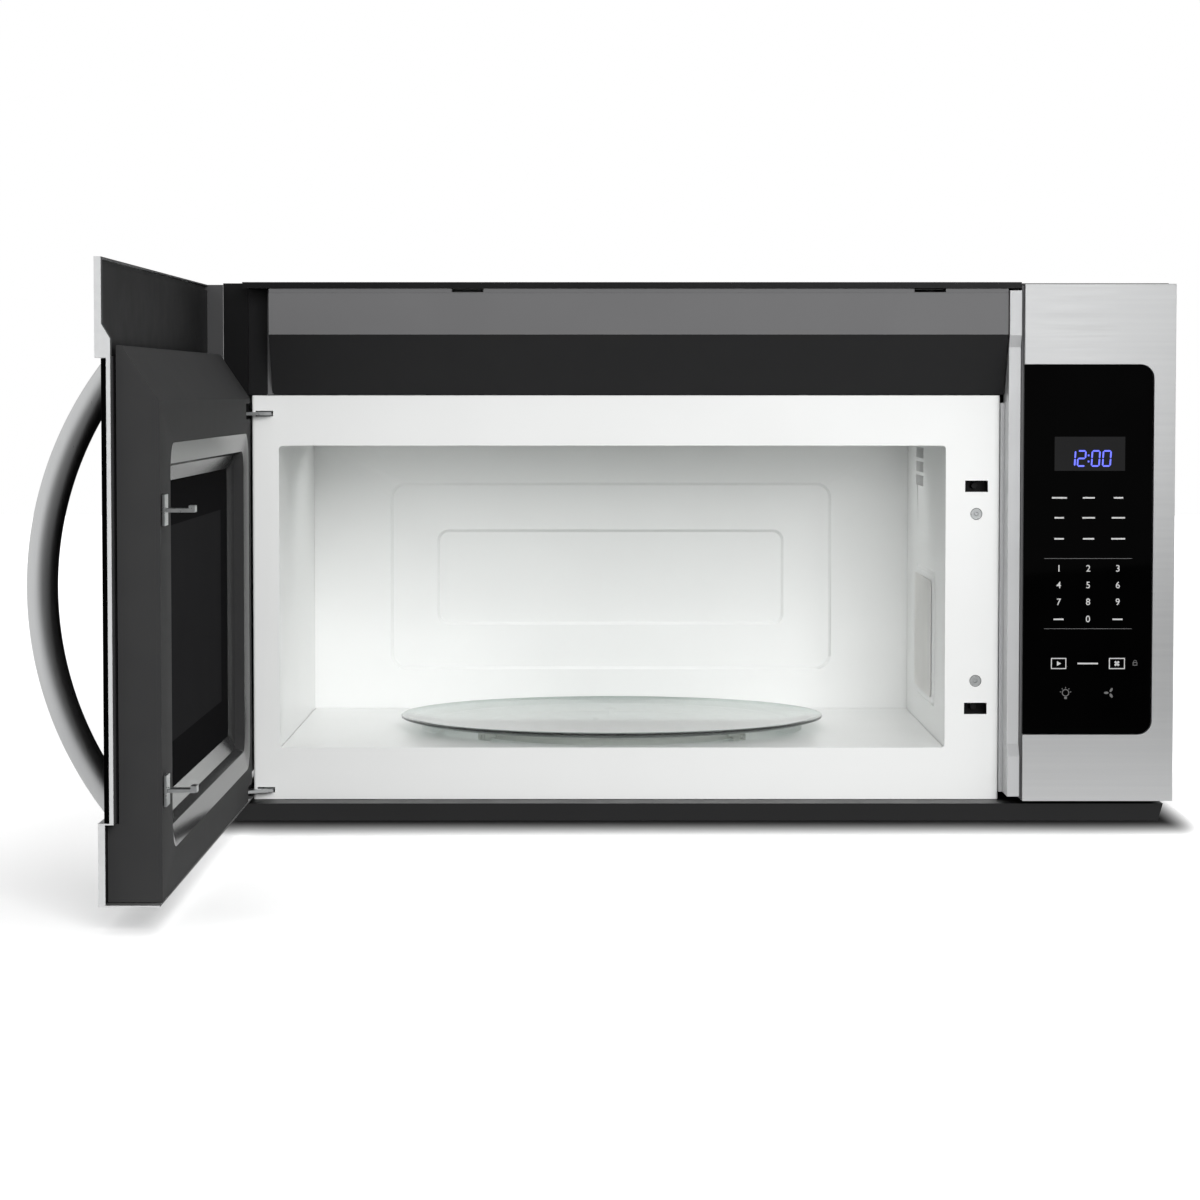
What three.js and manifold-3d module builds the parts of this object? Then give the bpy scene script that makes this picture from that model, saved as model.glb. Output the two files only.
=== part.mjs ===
// Over-the-range microwave oven with a built-in vent hood. The door stands open at a right angle.
// Millimetres. X runs to the right, Y into the wall, Z up. The origin is the middle of the base's underside.
// Pieces are drawn in a group whose Y 0 is the front plane of the white frame plate round the cavity.
// The door is drawn closed in front of that plane, and its group is then swung open about the hinge pins.

import * as THREE from "three";
import { mergeVertices } from "three/addons/utils/BufferGeometryUtils.js";
import Module from "manifold-3d";

const wasm = await Module();
wasm.setup();

// ---------------------------------------------------------------- driving dimensions

const BODY_WIDTH = 759; // 29 7/8 in, for a 30 inch opening between cabinets
const BODY_DEPTH = 380; // frame plane to the wall
const BODY_HEIGHT = 430.2;
const FRONT_DEPTH = 42; // how far the door and control panel stand in front of the frame plane
const FRONT_TOP_DROP = 1.6; // the door's and panel's top edges below the body's top
const FRONT_BOTTOM = 17.3; // their bottom edges above the base's underside
const SHEET = 0.8; // case metal
const SKIN = 1; // stainless sheet
const GAP = 0.3; // between pieces that touch
const PANEL_WIDTH = 119.7;
const DOOR_TO_PANEL = 2.8;
const BASE_HEIGHT = 14;
const BASE_FRONT = 30; // how far the base comes forward of the frame plane
const BASE_INSET = 5.5; // base inside the body's sides
const BASE_TAPER = 3.5;

const SIDE_DUCT = 44; // air space between the body's left side and the cavity
const BACK_GAP = 10; // between the cavity's back and the wall
const CAVITY_FLOOR = 56;
const CAVITY_HEIGHT = 244;
const CAVITY_SHEET = 0.7;
const CAVITY_RADIUS = 3;

const PLATE_LEFT_MARGIN = 21.5; // frame plate, measured outwards from the cavity's mouth
const PLATE_RIGHT_MARGIN = 43.2;
const PLATE_TOP_MARGIN = 40.3;
const PLATE_BOTTOM_MARGIN = 41.7;
const PLATE_RETURN = 14;
const PLATE_EDGE_RADIUS = 2;

const GLASS_BOTTOM = 70.5; // black glass band across door and control panel
const GLASS_TOP_DROP = 65.2; // below the body's top
const GLASS_SIDE = 17; // from the body's side
const GLASS_RADIUS = 11;
const GLASS_RECESS = 4;
const GLASS_THICKNESS = 3;

const HINGE_INSET = 7; // pins inside the body's left side
const HINGE_FORWARD = 19.5; // pins in front of the frame plane
const HINGE_PIN_RADIUS = 3;
const HINGE_ARM = 2.5;
const DOOR_OPEN = Math.PI / 2;

const TRAY_CLEARANCE = 4.5; // glass tray to the cavity's front and back
const WELL_DEPTH = 9;
const WELL_RADIUS = 163;
const ROLLER_RADIUS = 6;
const ROLLER_RING = 110;
const ROLLER_TRACK = 124;

const HOOD_DEPTH = 34;
const HOOD_FACE = 33; // height of the hood's upright face
const FILTER_WIDTH = 270; // grease filters
const FILTER_DEPTH = 125;
const FILTER_HEIGHT = 7;

// ---------------------------------------------------------------- sizes that follow from them

const BODY_LEFT = -BODY_WIDTH / 2;
const BODY_RIGHT = BODY_WIDTH / 2;
const FRONT_Y = -FRONT_DEPTH;
const FRONT_TOP = BODY_HEIGHT - FRONT_TOP_DROP;
const PANEL_LEFT = BODY_RIGHT - PANEL_WIDTH;
const DOOR_RIGHT = PANEL_LEFT - DOOR_TO_PANEL;
const DOOR_LEFT = BODY_LEFT;
const TRIM_RIGHT = PANEL_LEFT - 2;
const TRIM_LEFT = TRIM_RIGHT - 9.5;
const PLATE_RIGHT = TRIM_LEFT - 3.6;
const CAVITY_RIGHT = PLATE_RIGHT - PLATE_RIGHT_MARGIN;
const CAVITY_LEFT = BODY_LEFT + SIDE_DUCT;
const CAVITY_DEPTH = BODY_DEPTH - BACK_GAP;
const CAVITY_TOP = CAVITY_FLOOR + CAVITY_HEIGHT;
const CAVITY_MIDDLE = (CAVITY_LEFT + CAVITY_RIGHT) / 2;
const PLATE_LEFT = CAVITY_LEFT - PLATE_LEFT_MARGIN;
const PLATE_TOP = CAVITY_TOP + PLATE_TOP_MARGIN;
const PLATE_BOTTOM = CAVITY_FLOOR - PLATE_BOTTOM_MARGIN;
const INNER_LEFT = BODY_LEFT + SHEET + GAP;
const INNER_RIGHT = BODY_RIGHT - SHEET - GAP;
const CASE_BOTTOM = BASE_HEIGHT + GAP;
const GLASS_TOP = BODY_HEIGHT - GLASS_TOP_DROP;
const GLASS_FRONT = FRONT_Y + GLASS_RECESS;
const GLASS_BACK = GLASS_FRONT + GLASS_THICKNESS;
const COMPARTMENT = CAVITY_RIGHT + CAVITY_SHEET + GAP; // left side of the space for the electrics
const WELL_TOP = CAVITY_FLOOR - WELL_DEPTH;
const TURN_Y = CAVITY_DEPTH / 2;
const ROLLER_Z = WELL_TOP + GAP + ROLLER_RADIUS;
const TRAY_BOTTOM = ROLLER_Z + ROLLER_RADIUS + GAP;
const TRAY_RADIUS = TURN_Y - TRAY_CLEARANCE;
const HINGE_X = BODY_LEFT + HINGE_INSET;
const HINGE_Y = -HINGE_FORWARD;

// Latch: two slots in the frame plate, two hooks on the door, two switches behind.
const LATCH_X = PLATE_RIGHT - 18.5;
const SLOT_WIDTH = 18.3;
const SLOT_HEIGHT = 9.2;
const UPPER_LATCH = CAVITY_TOP - 32.7;
const LOWER_LATCH = CAVITY_FLOOR + 31.8;
const SCREW_OFFSET = 22.3; // frame screws inside the latch slots

// ---------------------------------------------------------------- shapes

const ARC_STEPS = 4; // facets in a quarter turn

function solid(geometry) {
  const bare = geometry.clone();
  bare.deleteAttribute("normal");
  bare.deleteAttribute("uv");
  const merged = mergeVertices(bare, 1e-4);
  const vertProperties = merged.attributes.position.array;
  const triVerts = new Uint32Array(merged.index.array);
  return new wasm.Manifold(new wasm.Mesh({ numProp: 3, vertProperties, triVerts }));
}

function join(first, ...others) {
  return others.reduce((sum, other) => sum.add(other), first);
}

function cut(first, ...others) {
  return others.reduce((rest, other) => rest.subtract(other), first);
}

function block(x0, x1, y0, y1, z0, z1) {
  const box = new THREE.BoxGeometry(x1 - x0, y1 - y0, z1 - z0);
  return solid(box.translate((x0 + x1) / 2, (y0 + y1) / 2, (z0 + z1) / 2));
}

// Cylinders along each axis, from one end to the other, with the place of their centre line.
function rodX(radius, x0, x1, y, z, sides = 24) {
  const rod = new THREE.CylinderGeometry(radius, radius, x1 - x0, sides).rotateZ(Math.PI / 2);
  return solid(rod.translate((x0 + x1) / 2, y, z));
}

function rodY(radius, y0, y1, x, z, sides = 24) {
  const rod = new THREE.CylinderGeometry(radius, radius, y1 - y0, sides);
  return solid(rod.translate(x, (y0 + y1) / 2, z));
}

function rodZ(radius, z0, z1, x, y, sides = 24) {
  const rod = new THREE.CylinderGeometry(radius, radius, z1 - z0, sides).rotateX(Math.PI / 2);
  return solid(rod.translate(x, y, (z0 + z1) / 2));
}

function outline(points) {
  return new THREE.Shape(points.map(([a, b]) => new THREE.Vector2(a, b)));
}

// A rectangle with its own radius at each corner: low left, low right, high right, high left.
function rounded(a0, a1, b0, b1, radii) {
  const [lowLeft, lowRight, highRight, highLeft] = Array.isArray(radii) ? radii : Array(4).fill(radii);
  const quarter = Math.PI / 2;
  const path = new THREE.Shape();
  path.moveTo(a0 + lowLeft, b0);
  path.lineTo(a1 - lowRight, b0);
  if (lowRight) path.absarc(a1 - lowRight, b0 + lowRight, lowRight, -quarter, 0, false);
  path.lineTo(a1, b1 - highRight);
  if (highRight) path.absarc(a1 - highRight, b1 - highRight, highRight, 0, quarter, false);
  path.lineTo(a0 + highLeft, b1);
  if (highLeft) path.absarc(a0 + highLeft, b1 - highLeft, highLeft, quarter, 2 * quarter, false);
  path.lineTo(a0, b0 + lowLeft);
  if (lowLeft) path.absarc(a0 + lowLeft, b0 + lowLeft, lowLeft, 2 * quarter, 3 * quarter, false);
  return path;
}

function extrude(shape, depth, curveSegments) {
  return new THREE.ExtrudeGeometry(shape, { depth, bevelEnabled: false, curveSegments });
}

// An outline in X and Z, drawn along Y.
function alongY(shape, y0, y1, curveSegments = ARC_STEPS) {
  return solid(extrude(shape, y1 - y0, curveSegments).rotateX(Math.PI / 2).translate(0, y1, 0));
}

// An outline in Y and Z, drawn along X.
function alongX(shape, x0, x1, curveSegments = ARC_STEPS) {
  const turn = new THREE.Matrix4().set(0, 0, 1, x0, 1, 0, 0, 0, 0, 1, 0, 0, 0, 0, 0, 1);
  return solid(extrude(shape, x1 - x0, curveSegments).applyMatrix4(turn));
}

// An outline in X and Y, drawn along Z.
function alongZ(shape, z0, z1, curveSegments = ARC_STEPS) {
  return solid(extrude(shape, z1 - z0, curveSegments).translate(0, 0, z0));
}

// A body whose section runs from one outline at the low end to another at the high end.
function tapered(low, high, d0, d1, segments = ARC_STEPS) {
  const a = low.getPoints(segments).slice(0, -1);
  const b = high.getPoints(segments).slice(0, -1);
  const count = a.length;
  const positions = [];
  a.forEach((p) => positions.push(p.x, p.y, d0));
  b.forEach((p) => positions.push(p.x, p.y, d1));
  const index = [];
  THREE.ShapeUtils.triangulateShape(a, []).forEach(([i, j, k]) => {
    index.push(i, k, j, count + i, count + j, count + k);
  });
  for (let i = 0; i < count; i += 1) {
    const j = (i + 1) % count;
    index.push(i, j, count + j, i, count + j, count + i);
  }
  const geometry = new THREE.BufferGeometry();
  geometry.setAttribute("position", new THREE.Float32BufferAttribute(positions, 3));
  geometry.setIndex(index);
  return geometry;
}

function taperedZ(low, high, z0, z1) {
  return solid(tapered(low, high, z0, z1));
}

function taperedY(near, far, y0, y1, segments = ARC_STEPS) {
  return solid(tapered(far, near, -y1, -y0, segments).rotateX(Math.PI / 2));
}

function taperedX(low, high, x0, x1) {
  const turn = new THREE.Matrix4().set(0, 0, 1, 0, 1, 0, 0, 0, 0, 1, 0, 0, 0, 0, 0, 1);
  return solid(tapered(low, high, x0, x1).applyMatrix4(turn));
}

// A turned body: its profile in radius and height runs counterclockwise.
function turned(points, x, y, segments = 40) {
  const profile = points.map(([r, z]) => new THREE.Vector2(r, z));
  return solid(new THREE.LatheGeometry(profile, segments).rotateX(Math.PI / 2).translate(x, y, 0));
}

function finish(color, roughness, metalness = 0, opacity = 1) {
  return new THREE.MeshStandardMaterial({ color, roughness, metalness, opacity, transparent: opacity < 1 });
}

const microwave = new THREE.Group();
const body = new THREE.Group();
body.position.y = -BODY_DEPTH / 2;
microwave.add(body);

const hinge = new THREE.Group();
hinge.position.set(HINGE_X, HINGE_Y, 0);
hinge.rotation.z = -DOOR_OPEN;
body.add(hinge);

const door = new THREE.Group();
door.position.set(-HINGE_X, -HINGE_Y, 0);
hinge.add(door);

function add(group, name, shape, material) {
  const made = shape.getMesh();
  const geometry = new THREE.BufferGeometry();
  geometry.setAttribute("position", new THREE.BufferAttribute(made.vertProperties, 3));
  geometry.setIndex(new THREE.BufferAttribute(made.triVerts, 1));
  geometry.computeVertexNormals();
  const mesh = new THREE.Mesh(geometry, material);
  mesh.name = name;
  group.add(mesh);
}

// ---------------------------------------------------------------- outer case

const POST_WIDTH = 20; // front flange of the body's left side
const VISOR_LIP = 4.8;
const VISOR_LEFT = BODY_LEFT + POST_WIDTH - 1.5;
const OUTLETS = 10; // louvres over the door, for recirculated air
const OUTLET_PITCH = 52;
const OUTLET_WIDTH = 42;
const OUTLET_Y = 14;
const OUTLET_DEPTH = 8;
const BOLT_RADIUS = 3.5;
const BOLT_X = 280; // cabinet bolts through the top
const BOLT_Y = BODY_DEPTH - 80;
const CORD_X = BODY_RIGHT - 80;
const CORD_Y = BODY_DEPTH - 50;
const CORD_HOLE = 11;
const HOOK_X = 300; // slots for the wall plate's hooks
const HOOK_WIDTH = 44;
const HOOK_HEIGHT = 6;
const HOOK_Z = CASE_BOTTOM + 16;
const VENTS = 6; // louvres behind the electrics
const VENT_PITCH = 16;
const VENT_HEIGHT = 6;
const VENT_Z = 150;
const VENT_MARGIN = 35;

function outerWrapper() {
  const lidBottom = BODY_HEIGHT - SHEET;
  const shell = cut(
    block(BODY_LEFT, BODY_RIGHT, 0, BODY_DEPTH, CASE_BOTTOM, BODY_HEIGHT),
    block(BODY_LEFT + SHEET, BODY_RIGHT - SHEET, -1, BODY_DEPTH + 1, CASE_BOTTOM - 1, lidBottom),
  );
  const post = block(BODY_LEFT, BODY_LEFT + POST_WIDTH, 0, SHEET, CASE_BOTTOM, BODY_HEIGHT);
  const visor = block(VISOR_LEFT, TRIM_RIGHT, -HOOD_DEPTH, 1, lidBottom, BODY_HEIGHT);
  const lipBottom = BODY_HEIGHT - VISOR_LIP;
  const lip = block(VISOR_LEFT, TRIM_RIGHT, -HOOD_DEPTH, -HOOD_DEPTH + SHEET, lipBottom, BODY_HEIGHT);
  const through = (x0, x1, y0, y1) => block(x0, x1, y0, y1, lidBottom - 1, BODY_HEIGHT + 1);
  let wrapper = join(shell, post, visor, lip);
  for (let i = 0; i < OUTLETS; i += 1) {
    const x = CAVITY_MIDDLE + (i - (OUTLETS - 1) / 2) * OUTLET_PITCH;
    const half = OUTLET_WIDTH / 2;
    wrapper = cut(wrapper, through(x - half, x + half, OUTLET_Y, OUTLET_Y + OUTLET_DEPTH));
  }
  for (const x of [-BOLT_X, BOLT_X]) {
    wrapper = cut(wrapper, rodZ(BOLT_RADIUS, lidBottom - 1, BODY_HEIGHT + 1, x, BOLT_Y));
  }
  return cut(wrapper, rodZ(CORD_HOLE, lidBottom - 1, BODY_HEIGHT + 1, CORD_X, CORD_Y));
}

function rearPanel() {
  const top = BODY_HEIGHT - SHEET - GAP;
  const through = (x0, x1, z0, z1) => block(x0, x1, BODY_DEPTH - SHEET - 1, BODY_DEPTH + 1, z0, z1);
  let panel = block(INNER_LEFT, INNER_RIGHT, BODY_DEPTH - SHEET, BODY_DEPTH, CASE_BOTTOM, top);
  for (const x of [-HOOK_X, HOOK_X]) {
    panel = cut(panel, through(x - HOOK_WIDTH / 2, x + HOOK_WIDTH / 2, HOOK_Z, HOOK_Z + HOOK_HEIGHT));
  }
  for (let i = 0; i < VENTS; i += 1) {
    const z = VENT_Z + i * VENT_PITCH;
    panel = cut(panel, through(PANEL_LEFT, BODY_RIGHT - VENT_MARGIN, z, z + VENT_HEIGHT));
  }
  return panel;
}

const FILTER_EDGE = 24; // from the base's sides
const FILTER_X = BODY_RIGHT - BASE_INSET - FILTER_EDGE - FILTER_WIDTH / 2;
const FILTER_Y = 70; // front edge of each grease filter
const FILTER_CLEARANCE = 2;
const FILTER_BACK_CLEARANCE = 4; // lets the rear edge swing
const FILTER_RIM = 7;
const FILTER_SUNK = 1.5; // mesh below the rim's faces
const FILTER_TAB = 9; // pivot tabs behind each filter
const FILTER_TAB_WIDTH = 24;
const FILTER_TAB_THICK = 1.8;
const LENS_X = FILTER_X;
const LENS_Y = 0;
const LENS_WIDTH = 88;
const LENS_DEPTH = 46;
const LENS_RIM = 5; // on each side of its opening
const PAN_SHEET = 1.5;
const AIR_WAY_MARGIN = 4; // hole in the deck under the left side duct, short of the cavity
const DUCT_END = 12;

// The base is a shallow duct: a tray below, with a deck on top that the case and the electrics stand on.
function basePan() {
  const back = BODY_DEPTH - GAP;
  const left = BODY_LEFT + BASE_INSET;
  const right = BODY_RIGHT - BASE_INSET;
  const low = rounded(left + BASE_TAPER, right - BASE_TAPER, BASE_TAPER - BASE_FRONT, back, 0);
  const high = rounded(left, right, -BASE_FRONT, back, 0);
  const wall = BASE_TAPER + PAN_SHEET;
  const deck = BASE_HEIGHT - SHEET;
  const hollow = block(left + wall, right - wall, wall - BASE_FRONT, back - SHEET, PAN_SHEET, deck);
  const airRight = CAVITY_LEFT - AIR_WAY_MARGIN;
  const airWay = block(left + wall, airRight, 2 * DUCT_END, back - DUCT_END, deck - 1, BASE_HEIGHT + 1);
  let pan = cut(taperedZ(low, high, 0, BASE_HEIGHT), hollow, airWay);
  const halfFilter = FILTER_WIDTH / 2 + FILTER_CLEARANCE;
  for (const side of [-1, 1]) {
    const x = side * FILTER_X;
    const y1 = FILTER_Y + FILTER_DEPTH + FILTER_BACK_CLEARANCE;
    pan = cut(pan, block(x - halfFilter, x + halfFilter, FILTER_Y - FILTER_CLEARANCE, y1, -1, PAN_SHEET + 1));
    const lens = rounded(x - LENS_WIDTH / 2, x + LENS_WIDTH / 2, LENS_Y, LENS_Y + LENS_DEPTH, 6);
    pan = cut(pan, alongZ(new THREE.Shape(lens.getPoints(4)), -1, PAN_SHEET + 1));
  }
  return pan;
}

// A lens drops in from above: its rim rests on the pan and its boss fills the opening.
function cooktopLens(side) {
  const x = side * LENS_X;
  const half = LENS_WIDTH / 2;
  const grown = (more, radius) =>
    rounded(x - half - more, x + half + more, LENS_Y - more, LENS_Y + LENS_DEPTH + more, radius);
  const rimBottom = PAN_SHEET + GAP;
  const rim = alongZ(grown(LENS_RIM, LENS_RIM + 3), rimBottom, rimBottom + 2);
  return join(rim, alongZ(grown(-1, 5), 0.5, rimBottom + 1));
}

// A grease filter: an aluminium rim round a pack of mesh, with a pull at its front and pivot tabs behind.
function greaseFilter(side) {
  const x = side * FILTER_X;
  const x0 = x - FILTER_WIDTH / 2;
  const x1 = x + FILTER_WIDTH / 2;
  const y1 = FILTER_Y + FILTER_DEPTH;
  const z0 = 0.5;
  const z1 = z0 + FILTER_HEIGHT;
  const rim = FILTER_RIM;
  const within = (low, high) => block(x0 + rim, x1 - rim, FILTER_Y + rim, y1 - rim, low, high);
  const sunk = FILTER_SUNK;
  let filter = cut(block(x0, x1, FILTER_Y, y1, z0, z1), within(z0 - 1, z0 + sunk), within(z1 - sunk, z1 + 1));
  for (const side of [-1, 1]) {
    const tabX = x + side * FILTER_WIDTH * 0.3;
    const tabZ = PAN_SHEET + 2 * GAP;
    const half = FILTER_TAB_WIDTH / 2;
    const tab = block(tabX - half, tabX + half, y1 - 1, y1 + FILTER_TAB, tabZ, tabZ + FILTER_TAB_THICK);
    filter = join(filter, tab);
  }
  return filter;
}

const HOOD_STRIP = 3.4; // set-back strip above the hood's face
const NOTCH_WIDTH = 25; // finger notches in the hood's strip
const NOTCH_PLACES = [-0.24, 0.244]; // from the middle, in body widths
const NOTCH_DEPTH = 10;

function ventHood() {
  const back = -GAP;
  const top = BODY_HEIGHT - VISOR_LIP - GAP;
  const faceTop = top - HOOD_STRIP;
  const faceBottom = faceTop - HOOD_FACE;
  const foot = PLATE_TOP + 0.6;
  const left = CAVITY_LEFT - 4.7;
  const right = TRIM_LEFT - 0.8;
  const outside = outline([
    [back, top],
    [1 - HOOD_DEPTH, top],
    [1 - HOOD_DEPTH, faceTop],
    [-HOOD_DEPTH, faceTop],
    [-HOOD_DEPTH, faceBottom],
    [back, foot],
  ]);
  const inside = outline([
    [1, top - SHEET],
    [1 - HOOD_DEPTH + SHEET, top - SHEET],
    [1 - HOOD_DEPTH + SHEET, faceTop - SHEET],
    [SHEET - HOOD_DEPTH, faceTop - SHEET],
    [SHEET - HOOD_DEPTH, faceBottom + 0.6],
    [1, foot + 1],
  ]);
  let hood = cut(alongX(outside, left, right), alongX(inside, left + SHEET, right - SHEET));
  for (const place of NOTCH_PLACES) {
    const x0 = place * BODY_WIDTH - NOTCH_WIDTH / 2;
    const y1 = NOTCH_DEPTH - HOOD_DEPTH;
    hood = cut(hood, block(x0, x0 + NOTCH_WIDTH, -HOOD_DEPTH - 1, y1, faceTop + 2 * GAP, top + 1));
  }
  const ear = block(BODY_LEFT + POST_WIDTH + GAP, left + 1, back - SHEET, back, foot, top);
  return join(hood, ear);
}

// ---------------------------------------------------------------- cavity

function frontPlate() {
  const radius = PLATE_EDGE_RADIUS;
  const inner = radius - SHEET;
  const outside = rounded(PLATE_LEFT, PLATE_RIGHT, 0, PLATE_RETURN, [radius, radius, 0, 0]);
  const inside = rounded(
    PLATE_LEFT + SHEET,
    PLATE_RIGHT - SHEET,
    SHEET,
    PLATE_RETURN + 1,
    [inner, inner, 0, 0],
  );
  const mouth = rounded(CAVITY_LEFT, CAVITY_RIGHT, CAVITY_FLOOR, CAVITY_TOP, CAVITY_RADIUS);
  let plate = cut(
    alongZ(outside, PLATE_BOTTOM, PLATE_TOP),
    alongZ(inside, PLATE_BOTTOM - 1, PLATE_TOP + 1),
    alongY(mouth, -1, PLATE_RETURN + 2),
  );
  for (const z of [UPPER_LATCH, LOWER_LATCH]) {
    const x0 = LATCH_X - SLOT_WIDTH / 2;
    const x1 = LATCH_X + SLOT_WIDTH / 2;
    plate = cut(plate, block(x0, x1, -1, 5, z - SLOT_HEIGHT / 2, z + SLOT_HEIGHT / 2));
  }
  for (const z of [UPPER_LATCH - SCREW_OFFSET, LOWER_LATCH + SCREW_OFFSET]) {
    plate = cut(plate, rodY(SCREW_HOLE, -1, 5, LATCH_X, z));
  }
  for (const z of [UPPER_HINGE, LOWER_HINGE]) {
    plate = cut(plate, block(ARM_LEFT - 1, ARM_RIGHT + 1, -1, 5, z - 1, z + HINGE_ARM + 1));
  }
  return plate;
}

const PORT_Y = 110; // waveguide port in the right wall
const PORT_WIDTH = 90;
const PORT_Z = CAVITY_FLOOR + 54;
const PORT_HEIGHT = 50;
const PAD_Y = 92; // pressed pad round the port
const PAD_WIDTH = 170;
const PAD_Z = CAVITY_FLOOR + 24;
const PAD_HEIGHT = 114;
const PAD_RISE = 2;
const LAMP_Y = 246; // middle of the lamp's port in the right wall
const LAMP_COLUMNS = 6;
const LAMP_ROWS = 3;
const LAMP_PITCH = 12;
const LAMP_HOLE = 9;

function cavityWrapper() {
  const t = CAVITY_SHEET;
  const front = SHEET + GAP;
  const radius = CAVITY_RADIUS;
  const low = CAVITY_FLOOR - t;
  const bend = radius + t;
  const outside = rounded(CAVITY_LEFT - t, CAVITY_RIGHT + t, low, CAVITY_TOP + t, [0, 0, bend, bend]);
  const inside = rounded(CAVITY_LEFT, CAVITY_RIGHT, low - 1, CAVITY_TOP, [0, 0, radius, radius]);
  let walls = cut(alongY(outside, front, CAVITY_DEPTH), alongY(inside, front - 1, CAVITY_DEPTH + 1));
  const foot = rounded(PAD_Y, PAD_Y + PAD_WIDTH, PAD_Z, PAD_Z + PAD_HEIGHT, 12);
  const face = rounded(PAD_Y + 3, PAD_Y + PAD_WIDTH - 3, PAD_Z + 3, PAD_Z + PAD_HEIGHT - 3, 9);
  const pad = taperedX(face, foot, CAVITY_RIGHT - PAD_RISE, CAVITY_RIGHT + 0.5);
  const x0 = CAVITY_RIGHT - PAD_RISE - 1;
  const port = block(x0, CAVITY_RIGHT + t + 1, PORT_Y, PORT_Y + PORT_WIDTH, PORT_Z, PORT_Z + PORT_HEIGHT);
  walls = cut(join(walls, pad), port);
  for (let i = 0; i < LAMP_COLUMNS * LAMP_ROWS; i += 1) {
    const y = LAMP_Y + ((i % LAMP_COLUMNS) - LAMP_COLUMNS / 2) * LAMP_PITCH;
    const z = CAVITY_TOP - (Math.floor(i / LAMP_COLUMNS) + 1.2) * LAMP_PITCH;
    walls = cut(walls, block(CAVITY_RIGHT - 1, CAVITY_RIGHT + t + 1, y, y + LAMP_HOLE, z, z + LAMP_HOLE));
  }
  return walls;
}

const WELL_FACETS = 40;

function cavityFloor() {
  const t = CAVITY_SHEET;
  const back = CAVITY_DEPTH - GAP;
  const x0 = CAVITY_LEFT + GAP;
  const plate = block(x0, CAVITY_RIGHT - GAP, SHEET + GAP, back, CAVITY_FLOOR - t, CAVITY_FLOOR);
  const slope = 5;
  const floor = CAVITY_FLOOR;
  const well = turned(
    [
      [SHAFT_HOLE, WELL_TOP - t],
      [WELL_RADIUS - slope + 0.5, WELL_TOP - t],
      [WELL_RADIUS + 0.6, floor - t],
      [WELL_RADIUS + 3, floor - t],
      [WELL_RADIUS + 3, floor],
      [WELL_RADIUS, floor],
      [WELL_RADIUS - slope, WELL_TOP],
      [SHAFT_HOLE, WELL_TOP],
      [SHAFT_HOLE, WELL_TOP - t],
    ],
    CAVITY_MIDDLE,
    TURN_Y,
    WELL_FACETS,
  );
  const hole = rodZ(WELL_RADIUS + 1.5, floor - 5, floor + 5, CAVITY_MIDDLE, TURN_Y, WELL_FACETS);
  return join(cut(plate, hole), well);
}

// The back wall is pressed rearwards twice, one rounded field inside the other.
function cavityBack() {
  const t = CAVITY_SHEET;
  const front = CAVITY_DEPTH + GAP;
  const press = 2.4;
  const draft = 2.5;
  const plate = block(CAVITY_LEFT - t, CAVITY_RIGHT + t, front, front + t, CAVITY_FLOOR - t, CAVITY_TOP + t);
  const fields = [
    [CAVITY_LEFT + 69, CAVITY_RIGHT - 69, CAVITY_FLOOR + 35.5, CAVITY_TOP - 39, 14],
    [CAVITY_LEFT + 111, CAVITY_RIGHT - 112, CAVITY_FLOOR + 76, CAVITY_TOP - 81.5, 10],
  ];
  let wall = plate;
  fields.forEach(([x0, x1, z0, z1, radius], i) => {
    const start = front + i * press;
    const near = rounded(x0 - t, x1 + t, z0 - t, z1 + t, radius + t);
    const far = rounded(x0 + draft - t, x1 - draft + t, z0 + draft - t, z1 - draft + t, radius - draft + t);
    wall = join(wall, taperedY(near, far, start + t, start + press + t, 3));
  });
  fields.forEach(([x0, x1, z0, z1, radius], i) => {
    const start = front + i * press;
    const near = rounded(x0, x1, z0, z1, radius);
    const far = rounded(x0 + draft, x1 - draft, z0 + draft, z1 - draft, radius - draft);
    wall = cut(wall, taperedY(near, far, start, start + press, 3), alongY(near, start - 1, start + 0.001, 3));
  });
  return wall;
}

function waveguideCover() {
  const x1 = CAVITY_RIGHT - PAD_RISE - GAP;
  const sheet = rounded(PAD_Y + 8, PAD_Y + PAD_WIDTH - 8, PAD_Z + 8, PAD_Z + PAD_HEIGHT - 8, 6);
  return alongX(sheet, x1 - 0.8, x1, 3);
}

// ---------------------------------------------------------------- electrics

const GUIDE_DEPTH = 39;
const GUIDE_END = 8; // waveguide beyond its port
const GUIDE_LENGTH = 158;
const GUIDE_RIGHT = COMPARTMENT + GUIDE_DEPTH;
const GUIDE_Y = PORT_Y - GUIDE_END;
const ANTENNA_Y = PORT_Y + 110;
const ANTENNA_Z = PORT_Z + PORT_HEIGHT / 2;
const ANTENNA_RADIUS = 9;
const ANTENNA_HOLE = 12;

function waveguide() {
  const t = SHEET;
  const z0 = PORT_Z - GUIDE_END;
  const z1 = PORT_Z + PORT_HEIGHT + GUIDE_END;
  const y1 = GUIDE_Y + GUIDE_LENGTH;
  const duct = block(COMPARTMENT, GUIDE_RIGHT, GUIDE_Y, y1, z0, z1);
  const hollow = block(COMPARTMENT - 1, GUIDE_RIGHT - t, GUIDE_Y + t, y1 - t, z0 + t, z1 - t);
  return cut(duct, hollow, rodX(ANTENNA_HOLE, GUIDE_RIGHT - 5, GUIDE_RIGHT + 1, ANTENNA_Y, ANTENNA_Z));
}

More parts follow.
